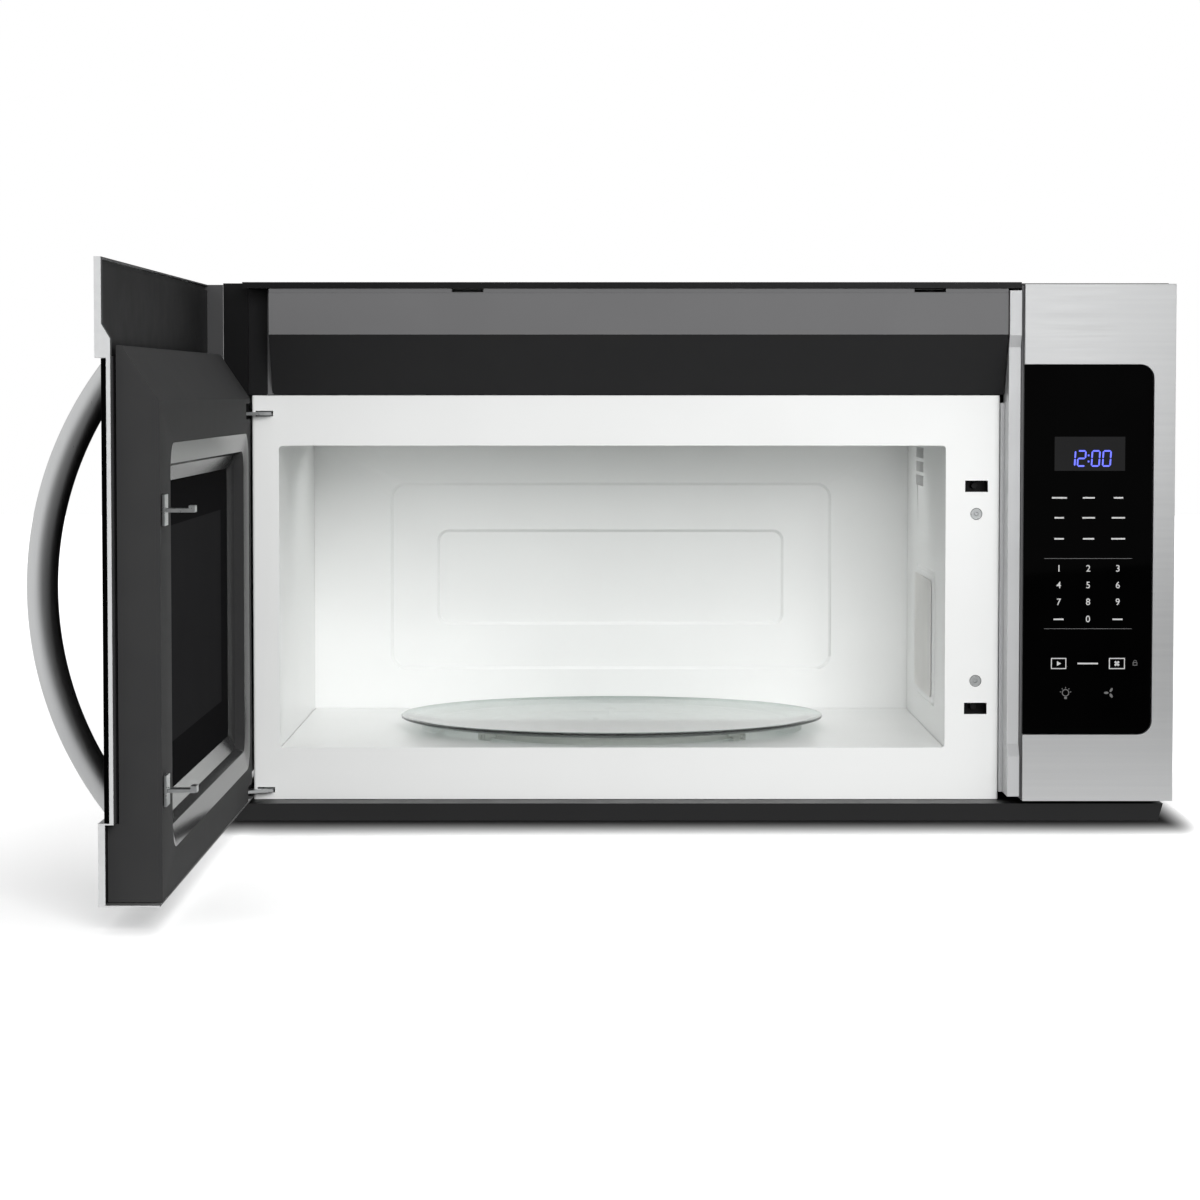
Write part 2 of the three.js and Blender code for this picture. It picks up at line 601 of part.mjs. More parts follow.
const TUBE_PLATE = 2.5;
const TUBE_WIDTH = 80;
const TUBE_HEIGHT = 84;
const TUBE_BODY = 50;
const TUBE_BOX = 22; // filter box at its far end
const TUBE_RIM = 8; // plate beyond the body
const TUBE_FINS = 5;
const FIN_PITCH = 8;
const FIN_SLOT = 5;

function magnetron() {
  const x = GUIDE_RIGHT + GAP;
  const bodyX = x + TUBE_PLATE;
  const boxX = bodyX + TUBE_BODY;
  const centred = (x0, x1, halfY, halfZ) =>
    block(x0, x1, ANTENNA_Y - halfY, ANTENNA_Y + halfY, ANTENNA_Z - halfZ, ANTENNA_Z + halfZ);
  const halfWidth = TUBE_WIDTH / 2 - TUBE_RIM;
  const halfHeight = TUBE_HEIGHT / 2 - TUBE_RIM;
  let tube = join(
    centred(x, bodyX, TUBE_WIDTH / 2, TUBE_HEIGHT / 2),
    rodX(ANTENNA_RADIUS, x - GUIDE_DEPTH / 2, x + 1, ANTENNA_Y, ANTENNA_Z),
    centred(bodyX - 0.5, boxX, halfWidth, halfHeight),
    centred(boxX - 0.5, boxX + TUBE_BOX, halfWidth - TUBE_RIM, halfHeight - TUBE_RIM),
  );
  for (let i = 0; i < TUBE_FINS; i += 1) {
    const finX = bodyX + FIN_PITCH / 2 + i * FIN_PITCH;
    const slot = centred(finX, finX + FIN_SLOT, halfWidth + 1, halfHeight - 4);
    tube = cut(tube, cut(slot, centred(finX - 1, finX + FIN_SLOT + 1, halfWidth / 2, halfHeight)));
  }
  return tube;
}

const CORE_WIDTH = 90;
const CORE_DEPTH = 60;
const CORE_HEIGHT = 76;
const CORE_YOKE = 15;
const CORE_WINDOW = 16;
const CORE_LEG = 28;
const CORE_PLATE = 4; // foot plate below the laminations
const CORE_FLANGE = 7;
const COIL_BULGE = 15;
const CORE_X = PANEL_LEFT + 50;
const CORE_Y = ANTENNA_Y - 110;
const CORE_BOTTOM = BASE_HEIGHT + GAP + CORE_PLATE;

function transformerCore() {
  const z1 = CORE_BOTTOM + CORE_HEIGHT;
  const centred = (halfX, halfY, z0, top) =>
    block(CORE_X - halfX, CORE_X + halfX, CORE_Y - halfY, CORE_Y + halfY, z0, top);
  const opening = cut(
    centred(CORE_LEG / 2 + CORE_WINDOW, CORE_DEPTH, CORE_BOTTOM + CORE_YOKE, z1 - CORE_YOKE),
    centred(CORE_LEG / 2, CORE_DEPTH + 1, CORE_BOTTOM, z1),
  );
  const stack = cut(centred(CORE_WIDTH / 2, CORE_DEPTH / 2, CORE_BOTTOM, z1), opening);
  const plateHalf = CORE_WIDTH / 2 + CORE_FLANGE;
  const plate = centred(plateHalf, CORE_DEPTH / 3, CORE_BOTTOM - CORE_PLATE, CORE_BOTTOM + 1);
  return join(stack, plate);
}

function transformerCoil() {
  const room = 2 * GAP;
  const reach = CORE_LEG / 2 + CORE_WINDOW - room;
  const bulge = CORE_DEPTH / 2 + COIL_BULGE;
  const z0 = CORE_BOTTOM + CORE_YOKE + room;
  const z1 = CORE_BOTTOM + CORE_HEIGHT - CORE_YOKE - room;
  const outside = rounded(CORE_X - reach, CORE_X + reach, CORE_Y - bulge, CORE_Y + bulge, 10);
  const halfX = CORE_LEG / 2 + room;
  const halfY = CORE_DEPTH / 2 + room;
  const leg = block(CORE_X - halfX, CORE_X + halfX, CORE_Y - halfY, CORE_Y + halfY, z0 - 1, z1 + 1);
  return cut(alongZ(outside, z0, z1), leg);
}

const CAN_WIDTH = 52;
const CAN_DEPTH = 32;
const CAN_HEIGHT = 76;
const TERMINAL_HEIGHT = 9;
const TERMINAL_WIDTH = 6;
const TERMINAL_THICK = 1;
const CAN_X = PANEL_LEFT + 28;
const CAN_Y = ANTENNA_Y + TUBE_WIDTH / 2 + CAN_DEPTH / 2 + 14;
const CAN_TOP = BASE_HEIGHT + GAP + CAN_HEIGHT;

function capacitor() {
  const halfX = CAN_WIDTH / 2;
  const halfY = CAN_DEPTH / 2;
  const can = rounded(CAN_X - halfX, CAN_X + halfX, CAN_Y - halfY, CAN_Y + halfY, halfY - 1);
  const tabs = [-1, 1].map((side) => {
    const x = CAN_X + side * CAN_WIDTH * 0.18;
    const wide = TERMINAL_WIDTH / 2;
    const thin = TERMINAL_THICK / 2;
    const top = CAN_TOP + TERMINAL_HEIGHT;
    return block(x - wide, x + wide, CAN_Y - thin, CAN_Y + thin, CAN_TOP - 1, top);
  });
  return join(alongZ(can, BASE_HEIGHT + GAP, CAN_TOP), ...tabs);
}

const DIODE_RADIUS = 3.8;
const DIODE_LENGTH = 20;
const DIODE_LEAD = 1.2;
const DIODE_DROP = 12; // below the capacitor's top

function highVoltageDiode() {
  const z = CAN_TOP - DIODE_DROP;
  const x0 = CAN_X + CAN_WIDTH / 2 + GAP;
  const middle = (x0 + INNER_RIGHT) / 2;
  const half = DIODE_LENGTH / 2;
  const body = rodX(DIODE_RADIUS, middle - half, middle + half, CAN_Y, z, 12);
  return join(rodX(DIODE_LEAD, x0, INNER_RIGHT, CAN_Y, z, 8), body);
}

const BOARD = 1.6;
const BOARD_FOOT = 2.5;
const NOISE_BOARD_WIDTH = 70;
const NOISE_BOARD_DEPTH = 60;
const NOISE_BOARD_DROP = 28; // below the case's top
const CHOKE_RADIUS = 13;
const CHOKE_HEIGHT = 16;

function noiseFilterBoard() {
  const x1 = BODY_RIGHT - 20;
  const x0 = x1 - NOISE_BOARD_WIDTH;
  const y0 = FAN_Y - 10 - NOISE_BOARD_DEPTH - 20;
  const y1 = y0 + NOISE_BOARD_DEPTH;
  const z = BODY_HEIGHT - NOISE_BOARD_DROP;
  const top = BODY_HEIGHT - SHEET - GAP;
  const side = x0 + NOISE_BOARD_WIDTH * 0.6;
  let board = join(
    block(x0, x1, y0, y1, z, z + BOARD),
    rodZ(CHOKE_RADIUS, z - CHOKE_HEIGHT, z + 0.5, x0 + CHOKE_RADIUS + 8, (y0 + y1) / 2, 16),
    block(side, side + 20, y0 + 10, y0 + 24, z - CHOKE_HEIGHT + 1, z + 0.5),
    block(side, side + 18, y1 - 26, y1 - 14, z - CHOKE_HEIGHT + 4, z + 0.5),
  );
  for (const x of [x0 + 2 * BOARD_FOOT, x1 - 2 * BOARD_FOOT]) {
    for (const y of [y0 + 2 * BOARD_FOOT, y1 - 2 * BOARD_FOOT]) {
      board = join(board, rodZ(BOARD_FOOT, z + 1, top, x, y, 8));
    }
  }
  return board;
}

const BOARD_STANDOFF = 17; // control board behind the housing's front wall
const BOARD_MARGIN = 12;

function controlBoard() {
  const x0 = PANEL_LEFT + BOARD_MARGIN;
  const x1 = BODY_RIGHT - BOARD_MARGIN;
  const z0 = GLASS_BOTTOM + BOARD_MARGIN;
  const z1 = GLASS_TOP - BOARD_MARGIN;
  const face = HOUSING_FRONT + HOUSING_WALL + GAP;
  const back = face + BOARD_STANDOFF;
  const part = (x, z, width, height, depth) => block(x, x + width, back + 1, back + depth, z, z + height);
  let board = join(
    block(x0, x1, back, back + BOARD, z0, z1),
    part(x0 + 10, z0 + 28, 35, 35, 11),
    part(x0 + 55, z0 + 38, 20, 20, 10),
    part(x0 + 55, z0 + 78, 20, 20, 10),
  );
  for (const x of [x0 + 3 * BOARD_FOOT, x1 - 3 * BOARD_FOOT]) {
    for (const z of [z0 + 4 * BOARD_FOOT, z1 - 4 * BOARD_FOOT]) {
      board = join(board, rodY(BOARD_FOOT, face, back + 0.5, x, z, 8));
    }
  }
  return board;
}

const DISPLAY_INSET = 1;
const DISPLAY_FLANGE = 5;

function displayModule() {
  const x0 = DISPLAY_LEFT + DISPLAY_INSET;
  const x1 = DISPLAY_RIGHT - DISPLAY_INSET;
  const z0 = DISPLAY_BOTTOM + DISPLAY_INSET;
  const z1 = DISPLAY_TOP - DISPLAY_INSET;
  const more = DISPLAY_FLANGE;
  const front = HOUSING_FRONT + HOUSING_WALL + DISPLAY_INSET;
  const back = HOUSING_FRONT + HOUSING_WALL + BOARD_STANDOFF;
  const base = block(x0 - more, x1 + more, front + more, back, z0 - more, z1 + more);
  return join(base, block(x0, x1, GLASS_BACK + GAP, back, z0, z1));
}

const LAMP_Z = CAVITY_TOP - 22;
const LAMP_REACH = 40;
const LAMP_WIDTH = 80;
const LAMP_HEIGHT = 44;
const BULB_RADIUS = 11;
const SOCKET_RADIUS = 8;

// The cavity's lamp: a reflector box against the wall, with the bulb inside and its socket outside.
function cavityLamp() {
  const x0 = COMPARTMENT;
  const x1 = x0 + LAMP_REACH;
  const t = SHEET;
  const halfY = LAMP_WIDTH / 2;
  const halfZ = LAMP_HEIGHT / 2;
  const reflector = cut(
    block(x0, x1, LAMP_Y - halfY, LAMP_Y + halfY, LAMP_Z - halfZ, LAMP_Z + halfZ),
    block(x0 - 1, x1 - t, LAMP_Y - halfY + t, LAMP_Y + halfY - t, LAMP_Z - halfZ + t, LAMP_Z + halfZ - t),
  );
  const middle = x0 + BULB_RADIUS + 6;
  const bulb = new THREE.SphereGeometry(BULB_RADIUS, 12, 8).translate(middle, LAMP_Y, LAMP_Z);
  const socket = rodX(SOCKET_RADIUS, middle, x1 + 2 * SOCKET_RADIUS, LAMP_Y, LAMP_Z, 16);
  return join(reflector, solid(bulb), socket);
}

function cordGrommet() {
  const top = BODY_HEIGHT;
  const under = BODY_HEIGHT - SHEET - GAP;
  return turned(
    [
      [7, under - 3],
      [15, under - 3],
      [15, under],
      [CORD_HOLE - GAP, under],
      [CORD_HOLE - GAP, top],
      [7, top],
      [7, under - 3],
    ],
    CORD_X,
    CORD_Y,
    24,
  );
}

// ---------------------------------------------------------------- cooling fan and vent blower

const FAN_X = BODY_RIGHT - 62;
const FAN_Z = CAVITY_TOP;
const FAN_Y = BODY_DEPTH - 80;
const FAN_RADIUS = 42;
const MOTOR_HOLE = 3.2;

function fanShroud() {
  const plate = block(FAN_X - 58, INNER_RIGHT, FAN_Y, FAN_Y + 2, FAN_Z - 60, FAN_Z + 60);
  const collar = rodY(FAN_RADIUS + 5, FAN_Y - 8, FAN_Y + 1, FAN_X, FAN_Z, 32);
  return cut(join(plate, collar), rodY(FAN_RADIUS + 3, FAN_Y - 9, FAN_Y + 3, FAN_X, FAN_Z, 32));
}

function coolingFanMotor() {
  const y = FAN_Y + 26;
  let motor = join(
    block(FAN_X - 42, FAN_X + 42, y, y + 2, FAN_Z - 42, FAN_Z + 42),
    block(FAN_X - 23, FAN_X + 23, y + 1, y + 22, FAN_Z - 23, FAN_Z + 23),
  );
  for (const x of [FAN_X - 38, FAN_X + 38]) {
    for (const z of [FAN_Z - 38, FAN_Z + 38]) {
      motor = join(motor, rodY(2.2, FAN_Y + 2 + GAP, y + 1, x, z, 8));
    }
  }
  return cut(motor, rodY(MOTOR_HOLE, y - 1, y + 16, FAN_X, FAN_Z, 16));
}

function coolingFan() {
  let fan = join(
    rodY(10, FAN_Y - 8, FAN_Y + 12, FAN_X, FAN_Z, 16),
    rodY(MOTOR_HOLE - GAP, FAN_Y + 11, FAN_Y + 38, FAN_X, FAN_Z, 16),
  );
  const blades = 5;
  for (let i = 0; i < blades; i += 1) {
    const blade = new THREE.BoxGeometry(FAN_RADIUS - 10, 1.6, 24)
      .rotateX(0.6)
      .translate((FAN_RADIUS + 8) / 2, 0, 0)
      .rotateY((i * 2 * Math.PI) / blades)
      .translate(FAN_X, FAN_Y + 1, FAN_Z);
    fan = join(fan, solid(blade));
  }
  return fan;
}

const BLOWER_ROOM = 12; // between the blower and the lid
const BLOWER_HALF = 170;
const SCROLL = (BODY_HEIGHT - SHEET - BLOWER_ROOM - CAVITY_TOP - CAVITY_SHEET - GAP) / 2;
const BLOWER_Y = BODY_DEPTH - SCROLL - 17;
const BLOWER_Z = CAVITY_TOP + CAVITY_SHEET + GAP + SCROLL;
const BLOWER_MOUTH = 2 * SCROLL; // from the shaft forward to the outlet
const WHEEL = SCROLL - 14;
const WHEEL_LENGTH = 108;
const WHEEL_GAP = 42; // between the motor's middle and each wheel
const WHEEL_BLADES = 10;
const BLADE = 7;
const MOTOR_HALF = 32;
const MOTOR_RADIUS = SCROLL / 2;
const SHAFT = 4.5;

function blowerHousing() {
  const t = SHEET;
  const half = BLOWER_HALF;
  const y0 = BLOWER_Y - BLOWER_MOUTH;
  const lip = SCROLL / 7;
  const outside = join(
    rodX(SCROLL, -half, half, BLOWER_Y, BLOWER_Z, 28),
    block(-half, half, y0, BLOWER_Y, BLOWER_Z + lip, BLOWER_Z + SCROLL),
  );
  const inside = join(
    rodX(SCROLL - t, t - half, half - t, BLOWER_Y, BLOWER_Z, 28),
    block(t - half, half - t, y0 - 1, BLOWER_Y, BLOWER_Z + lip + t, BLOWER_Z + SCROLL - t),
  );
  return cut(outside, inside, rodX(WHEEL * 0.8, -half - 1, half + 1, BLOWER_Y, BLOWER_Z, 24));
}

function blowerMotor() {
  const can = rodX(MOTOR_RADIUS, -MOTOR_HALF, MOTOR_HALF, BLOWER_Y, BLOWER_Z, 24);
  const halfFoot = MOTOR_RADIUS / 3;
  const bottom = BLOWER_Z - SCROLL + SHEET + 2 + GAP;
  const foot = block(-20, 20, BLOWER_Y - halfFoot, BLOWER_Y + halfFoot, bottom, BLOWER_Z - MOTOR_RADIUS / 2);
  return cut(join(can, foot), rodX(SHAFT + GAP, -MOTOR_HALF - 1, MOTOR_HALF + 1, BLOWER_Y, BLOWER_Z, 12));
}

function blowerWheels() {
  const end = WHEEL_GAP + WHEEL_LENGTH;
  let wheels = rodX(SHAFT, -end - 8, end + 8, BLOWER_Y, BLOWER_Z, 12);
  for (const side of [-1, 1]) {
    const disc = (from, to, radius) =>
      rodX(radius, Math.min(side * from, side * to), Math.max(side * from, side * to), BLOWER_Y, BLOWER_Z);
    const rim = cut(disc(end - 3, end, WHEEL), disc(end - 4, end + 1, WHEEL - BLADE - 1));
    wheels = join(wheels, disc(WHEEL_GAP, WHEEL_GAP + 2, WHEEL), rim);
    for (let i = 0; i < WHEEL_BLADES; i += 1) {
      const blade = new THREE.BoxGeometry(WHEEL_LENGTH - 1, BLADE, 1.4)
        .rotateX(0.5)
        .translate(side * (WHEEL_GAP + WHEEL_LENGTH / 2), WHEEL - BLADE / 2 - 1, 0)
        .rotateX((i * 2 * Math.PI) / WHEEL_BLADES)
        .translate(0, BLOWER_Y, BLOWER_Z);
      wheels = join(wheels, solid(blade));
    }
  }
  return wheels;
}

const CARBON_WIDTH = 300; // charcoal filter
const CARBON_HEIGHT = 78;
const CARBON_THICK = 12.6;
const CARBON_RIM = 6;
const CARBON_SUNK = 2.6; // its bed below the rim's faces

function charcoalFilter() {
  const z0 = PLATE_TOP + GAP;
  const y0 = 0.4;
  const y1 = y0 + CARBON_THICK;
  const slab = (inset, from, to) => {
    const half = CARBON_WIDTH / 2 - inset;
    const top = z0 + CARBON_HEIGHT - inset;
    return block(CAVITY_MIDDLE - half, CAVITY_MIDDLE + half, from, to, z0 + inset, top);
  };
  const bed = [slab(CARBON_RIM, y0 - 1, y0 + CARBON_SUNK), slab(CARBON_RIM, y1 - CARBON_SUNK, y1 + 1)];
  return cut(slab(0, y0, y1), ...bed);
}

// ---------------------------------------------------------------- turntable

const SHAFT_HOLE = 8;
const COUPLER_HUB = 12;
const LOBES = 3;
const LOBE_LENGTH = 16;
const LOBE_WIDTH = 9;
const LOBE_HEIGHT = 5;
const LUG_RADIUS = 3.5; // lugs under the tray sit between the coupler's lobes
const LUG_HEIGHT = 2.5;
const LUG_RING = 20;

function turntableMotor() {
  const top = WELL_TOP - CAVITY_SHEET - GAP;
  const can = rodZ(25, top - 18, top, CAVITY_MIDDLE, TURN_Y, 32);
  const ears = block(CAVITY_MIDDLE - 34, CAVITY_MIDDLE + 34, TURN_Y - 6, TURN_Y + 6, top - 1.5, top);
  return cut(join(can, ears), rodZ(4.2, top - 14, top + 1, CAVITY_MIDDLE, TURN_Y, 16));
}

function turntableCoupler() {
  const hubTop = TRAY_BOTTOM - GAP;
  let coupler = join(
    rodZ(COUPLER_HUB, WELL_TOP + 0.4, hubTop, CAVITY_MIDDLE, TURN_Y),
    rodZ(3.6, WELL_TOP - 14, WELL_TOP + 1, CAVITY_MIDDLE, TURN_Y, 16),
  );
  for (let i = 0; i < LOBES; i += 1) {
    const lobe = new THREE.BoxGeometry(LOBE_LENGTH, LOBE_WIDTH, LOBE_HEIGHT)
      .translate(COUPLER_HUB + LOBE_LENGTH / 2 - 4, 0, hubTop - LOBE_HEIGHT / 2)
      .rotateZ((i * 2 * Math.PI) / LOBES)
      .translate(CAVITY_MIDDLE, TURN_Y, 0);
    coupler = join(coupler, solid(lobe));
  }
  return coupler;
}

function glassTray() {
  const z = TRAY_BOTTOM;
  const r = TRAY_RADIUS;
  let tray = turned(
    [
      [0, z],
      [r - 34, z],
      [r - 11, z + 2.6],
      [r, z + 6],
      [r - 1.6, z + 8],
      [r - 12, z + 6.4],
      [r - 34, z + 4],
      [0, z + 4],
    ],
    CAVITY_MIDDLE,
    TURN_Y,
    48,
  );
  for (let i = 0; i < LOBES; i += 1) {
    const lug = new THREE.CylinderGeometry(LUG_RADIUS, LUG_RADIUS, LUG_HEIGHT + 0.5, 10)
      .rotateX(Math.PI / 2)
      .translate(LUG_RING, 0, z - LUG_HEIGHT / 2)
      .rotateZ(((2 * i + 1) * Math.PI) / LOBES)
      .translate(CAVITY_MIDDLE, TURN_Y, 0);
    tray = join(tray, solid(lug));
  }
  return tray;
}

const ROLLER_ANGLES = [90, 210, 330].map((degrees) => (degrees * Math.PI) / 180);
const AXLE = 1.7;

function atRing(shape, angle) {
  return shape.rotateZ(angle).translate(CAVITY_MIDDLE, TURN_Y, 0);
}

function rollerRing() {
  const z = ROLLER_Z;
  let ring = turned(
    [
      [ROLLER_RING - 4, z - 2.2],
      [ROLLER_RING + 4, z - 2.2],
      [ROLLER_RING + 4, z + 2.2],
      [ROLLER_RING - 4, z + 2.2],
      [ROLLER_RING - 4, z - 2.2],
    ],
    CAVITY_MIDDLE,
    TURN_Y,
    32,
  );
  for (const angle of ROLLER_ANGLES) {
    const length = ROLLER_TRACK - ROLLER_RING + 4;
    const axle = new THREE.CylinderGeometry(AXLE, AXLE, length, 12)
      .rotateZ(Math.PI / 2)
      .translate(ROLLER_RING + length / 2, 0, z);
    ring = join(ring, solid(atRing(axle, angle)));
    const spoke = new THREE.BoxGeometry(ROLLER_RING - COUPLER_HUB - 22, 5, 2.4)
      .translate((ROLLER_RING + COUPLER_HUB + 22) / 2, 0, z);
    ring = join(ring, solid(atRing(spoke, angle)));
  }
  const hub = turned(
    [
      [30, z - 2.2],
      [37, z - 2.2],
      [37, z + 2.2],
      [30, z + 2.2],
      [30, z - 2.2],
    ],
    CAVITY_MIDDLE,
    TURN_Y,
    20,
  );
  return join(ring, hub);
}

function roller(angle) {
  const wheel = new THREE.CylinderGeometry(ROLLER_RADIUS, ROLLER_RADIUS, 6, 20)
    .rotateZ(Math.PI / 2)
    .translate(ROLLER_TRACK, 0, ROLLER_Z);
  const bore = new THREE.CylinderGeometry(AXLE + 0.25, AXLE + 0.25, 8, 12)
    .rotateZ(Math.PI / 2)
    .translate(ROLLER_TRACK, 0, ROLLER_Z);
  return cut(solid(atRing(wheel, angle)), solid(atRing(bore, angle)));
}

// ---------------------------------------------------------------- hinges and interlock

const SCREW_HOLE = 4.8;
const UPPER_HINGE = PLATE_TOP - 15.8; // undersides of the hinge arms
const LOWER_HINGE = PLATE_BOTTOM + 6.2;
const ARM_LEFT = PLATE_LEFT + 4;
const ARM_RIGHT = CAVITY_LEFT - 5.5;
const ARM_TAIL = 14; // behind the frame plane
const RIVET_HOLE = 1.3;

// A hinge arm reaches forward through the frame plate to its pin. Its leg is riveted behind the plate.
function hingeBracket(z) {
  const eye = 2 * HINGE_PIN_RADIUS;
  const y = HINGE_Y;
  const tail = ARM_TAIL;
  const arm = new THREE.Shape();
  arm.moveTo(ARM_LEFT, tail);
  arm.lineTo(ARM_LEFT, -3);
  arm.lineTo(HINGE_X - 2, y + eye);
  arm.absarc(HINGE_X, y, eye, (110 * Math.PI) / 180, (280 * Math.PI) / 180, false);
  arm.lineTo(ARM_RIGHT, -7);
  arm.lineTo(ARM_RIGHT, tail);
  for (const part of [0.36, 0.64]) {
    const rivet = new THREE.Path();
    const x = ARM_LEFT + part * (ARM_RIGHT - ARM_LEFT);
    rivet.absarc(x, -2.2, RIVET_HOLE, 0, 2 * Math.PI, true);
    arm.holes.push(rivet);
  }
  const leg = block(ARM_LEFT, ARM_RIGHT, SHEET + 0.4, SHEET + 2.4, z - 6, z + tail - 2);
  const pin = rodZ(HINGE_PIN_RADIUS, z + 1, z + HINGE_ARM + 6.5, HINGE_X, y, 20);
  return join(alongZ(arm, z, z + HINGE_ARM, 8), leg, pin);
}

const SCREW_RADIUS = 1.9;
const SCREW_HEAD = 2.4;
const SCREW_SOCKET = 1.4;
const SCREW_LENGTH = 11.8;

function frameScrew(z) {
  const front = 0.2;
  const head = rodY(SCREW_HOLE - GAP, front, front + SCREW_HEAD, LATCH_X, z, 20);
  const socket = rodY(SCREW_RADIUS - 0.2, front - 1, front + SCREW_SOCKET, LATCH_X, z, 6);
  return join(cut(head, socket), rodY(SCREW_RADIUS, 2, front + SCREW_LENGTH, LATCH_X, z, 10));
}

const BRACKET_FRONT = SHEET + 2;
const BRACKET_BACK = 31;
const BRACKET_HALF = 13;
const BRACKET_WALL = 3;
const BRACKET_END = 18; // beyond the latch slots
const BUTTON_RADIUS = 2.4;
const HOOK_REACH = 18;
const BUTTON_TIP = HOOK_REACH + 0.6;

function interlockBracket() {
  const x0 = LATCH_X - BRACKET_HALF;
  const x1 = LATCH_X + BRACKET_HALF;
  const wall = BRACKET_WALL;
  const bottom = LOWER_LATCH - BRACKET_END;
  let bracket = block(x0, x1, BRACKET_FRONT, BRACKET_BACK, bottom, UPPER_LATCH + BRACKET_END);
  const y1 = BRACKET_BACK - wall - 1;
  const middle = block(x0 + wall, x1 + 1, BRACKET_FRONT - 1, y1, LOWER_LATCH + 30, UPPER_LATCH - 30);
  bracket = cut(bracket, middle);
  for (const z of [UPPER_LATCH, LOWER_LATCH]) {
    const roomHalf = SLOT_HEIGHT - GAP;
    bracket = cut(
      bracket,
      block(x0 + wall, x1 - wall, BRACKET_FRONT - 1, BRACKET_BACK - wall, z - roomHalf, z + roomHalf),
      rodY(BUTTON_RADIUS + GAP, BRACKET_BACK - 5, BRACKET_BACK + 1, LATCH_X, z, 16),
    );
  }
  for (const z of [UPPER_LATCH - SCREW_OFFSET, LOWER_LATCH + SCREW_OFFSET]) {
    bracket = cut(bracket, rodY(2.3, BRACKET_FRONT - 1, 14, LATCH_X, z, 10));
  }
  return bracket;
}

function latchSwitch(z) {
  const y = BRACKET_BACK + GAP;
  return cut(
    block(LATCH_X - 8, LATCH_X + 8, y, y + 18, z - 14, z + 14),
    rodY(BUTTON_RADIUS + GAP, y - 1, y + 9, LATCH_X, z, 16),
  );
}

function latchButton(z) {
  return rodY(BUTTON_RADIUS, BUTTON_TIP, BRACKET_BACK + 6, LATCH_X, z, 16);
}

// ---------------------------------------------------------------- control panel

const HOUSING_FRONT = FRONT_Y + 8.5;
const HOUSING_WALL = 2;
const PANEL_GLASS_RIGHT = BODY_RIGHT - GLASS_SIDE;
const DISPLAY_LEFT = PANEL_LEFT + 24.5;
const DISPLAY_RIGHT = DISPLAY_LEFT + 56;
const DISPLAY_TOP = GLASS_TOP - 57.4;
const DISPLAY_BOTTOM = DISPLAY_TOP - 27;

// Edge of the glass opening: a lip that turns back from the face.
function glassLip(x0, x1, radii, depth) {
  const grown = radii.map((r) => (r ? r + SKIN : 0));
  const outside = rounded(x0, x1, GLASS_BOTTOM - SKIN, GLASS_TOP + SKIN, grown);
  return alongY(outside, FRONT_Y, FRONT_Y + depth);
}

function panelFrame() {
  const back = -0.6;
  const bandBack = FRONT_Y + 4.5;
  const radii = [0, GLASS_RADIUS, GLASS_RADIUS, 0];
  const face = block(PANEL_LEFT, BODY_RIGHT, FRONT_Y, FRONT_Y + SKIN, FRONT_BOTTOM, FRONT_TOP);
  const returns = join(
    block(BODY_RIGHT - SKIN, BODY_RIGHT, FRONT_Y, back, FRONT_BOTTOM, FRONT_TOP),
    block(PANEL_LEFT, BODY_RIGHT, FRONT_Y, back, FRONT_TOP - SKIN, FRONT_TOP),
    block(PANEL_LEFT, BODY_RIGHT, FRONT_Y, back, FRONT_BOTTOM, FRONT_BOTTOM + SKIN),
    block(PANEL_LEFT, PANEL_LEFT + SKIN, FRONT_Y, bandBack, FRONT_BOTTOM, FRONT_TOP),
  );
  const lip = glassLip(PANEL_LEFT, PANEL_GLASS_RIGHT + SKIN, radii, GLASS_RECESS + 2);
  const opening = rounded(PANEL_LEFT - 1, PANEL_GLASS_RIGHT, GLASS_BOTTOM, GLASS_TOP, radii);
  return cut(join(face, returns, lip), alongY(opening, FRONT_Y - 1, -20));
}

function controlGlass() {
  const r = GLASS_RADIUS - GAP;
  const pane = rounded(
    PANEL_LEFT + 0.2,
    PANEL_GLASS_RIGHT - GAP,
    GLASS_BOTTOM + GAP,
    GLASS_TOP - GAP,
    [0, r, r, 0],
  );
  return alongY(pane, GLASS_FRONT, GLASS_BACK);
}

function panelHousing() {
  const x0 = TRIM_RIGHT + GAP;
  const x1 = BODY_RIGHT - SKIN - GAP;
  const z0 = FRONT_BOTTOM + SKIN + GAP;
  const z1 = FRONT_TOP - SKIN - GAP;
  const wall = HOUSING_WALL;
  const y = HOUSING_FRONT;
  const view = block(DISPLAY_LEFT, DISPLAY_RIGHT, y - 1, y + 2 * wall, DISPLAY_BOTTOM, DISPLAY_TOP);
  const hollow = block(x0 + wall, x1 - wall, y + wall, 1, z0 + wall, z1 - wall);
  return cut(block(x0, x1, y, -1, z0, z1), hollow, view);
}

// The pale strip between the cavity's frame and the panel, set back where the door's glass tray closes on it.
const TRIM_BAND_Y = FRONT_Y + 5;
const TRIM_MIDDLE_Y = FRONT_Y + 10.6;
const STEP_TOP = 13.6; // where the set-back middle starts to slope forward, beyond the glass band's ends
const STEP_BOTTOM = 8.6;
const STEP_SLOPE = 9.4;
const STEP_ROOM = 1.6; // between the door's latch end and the trim's slopes
const TRIM_FLANGE_INSET = 6; // the flange beside the frame plate, short of its top and bottom

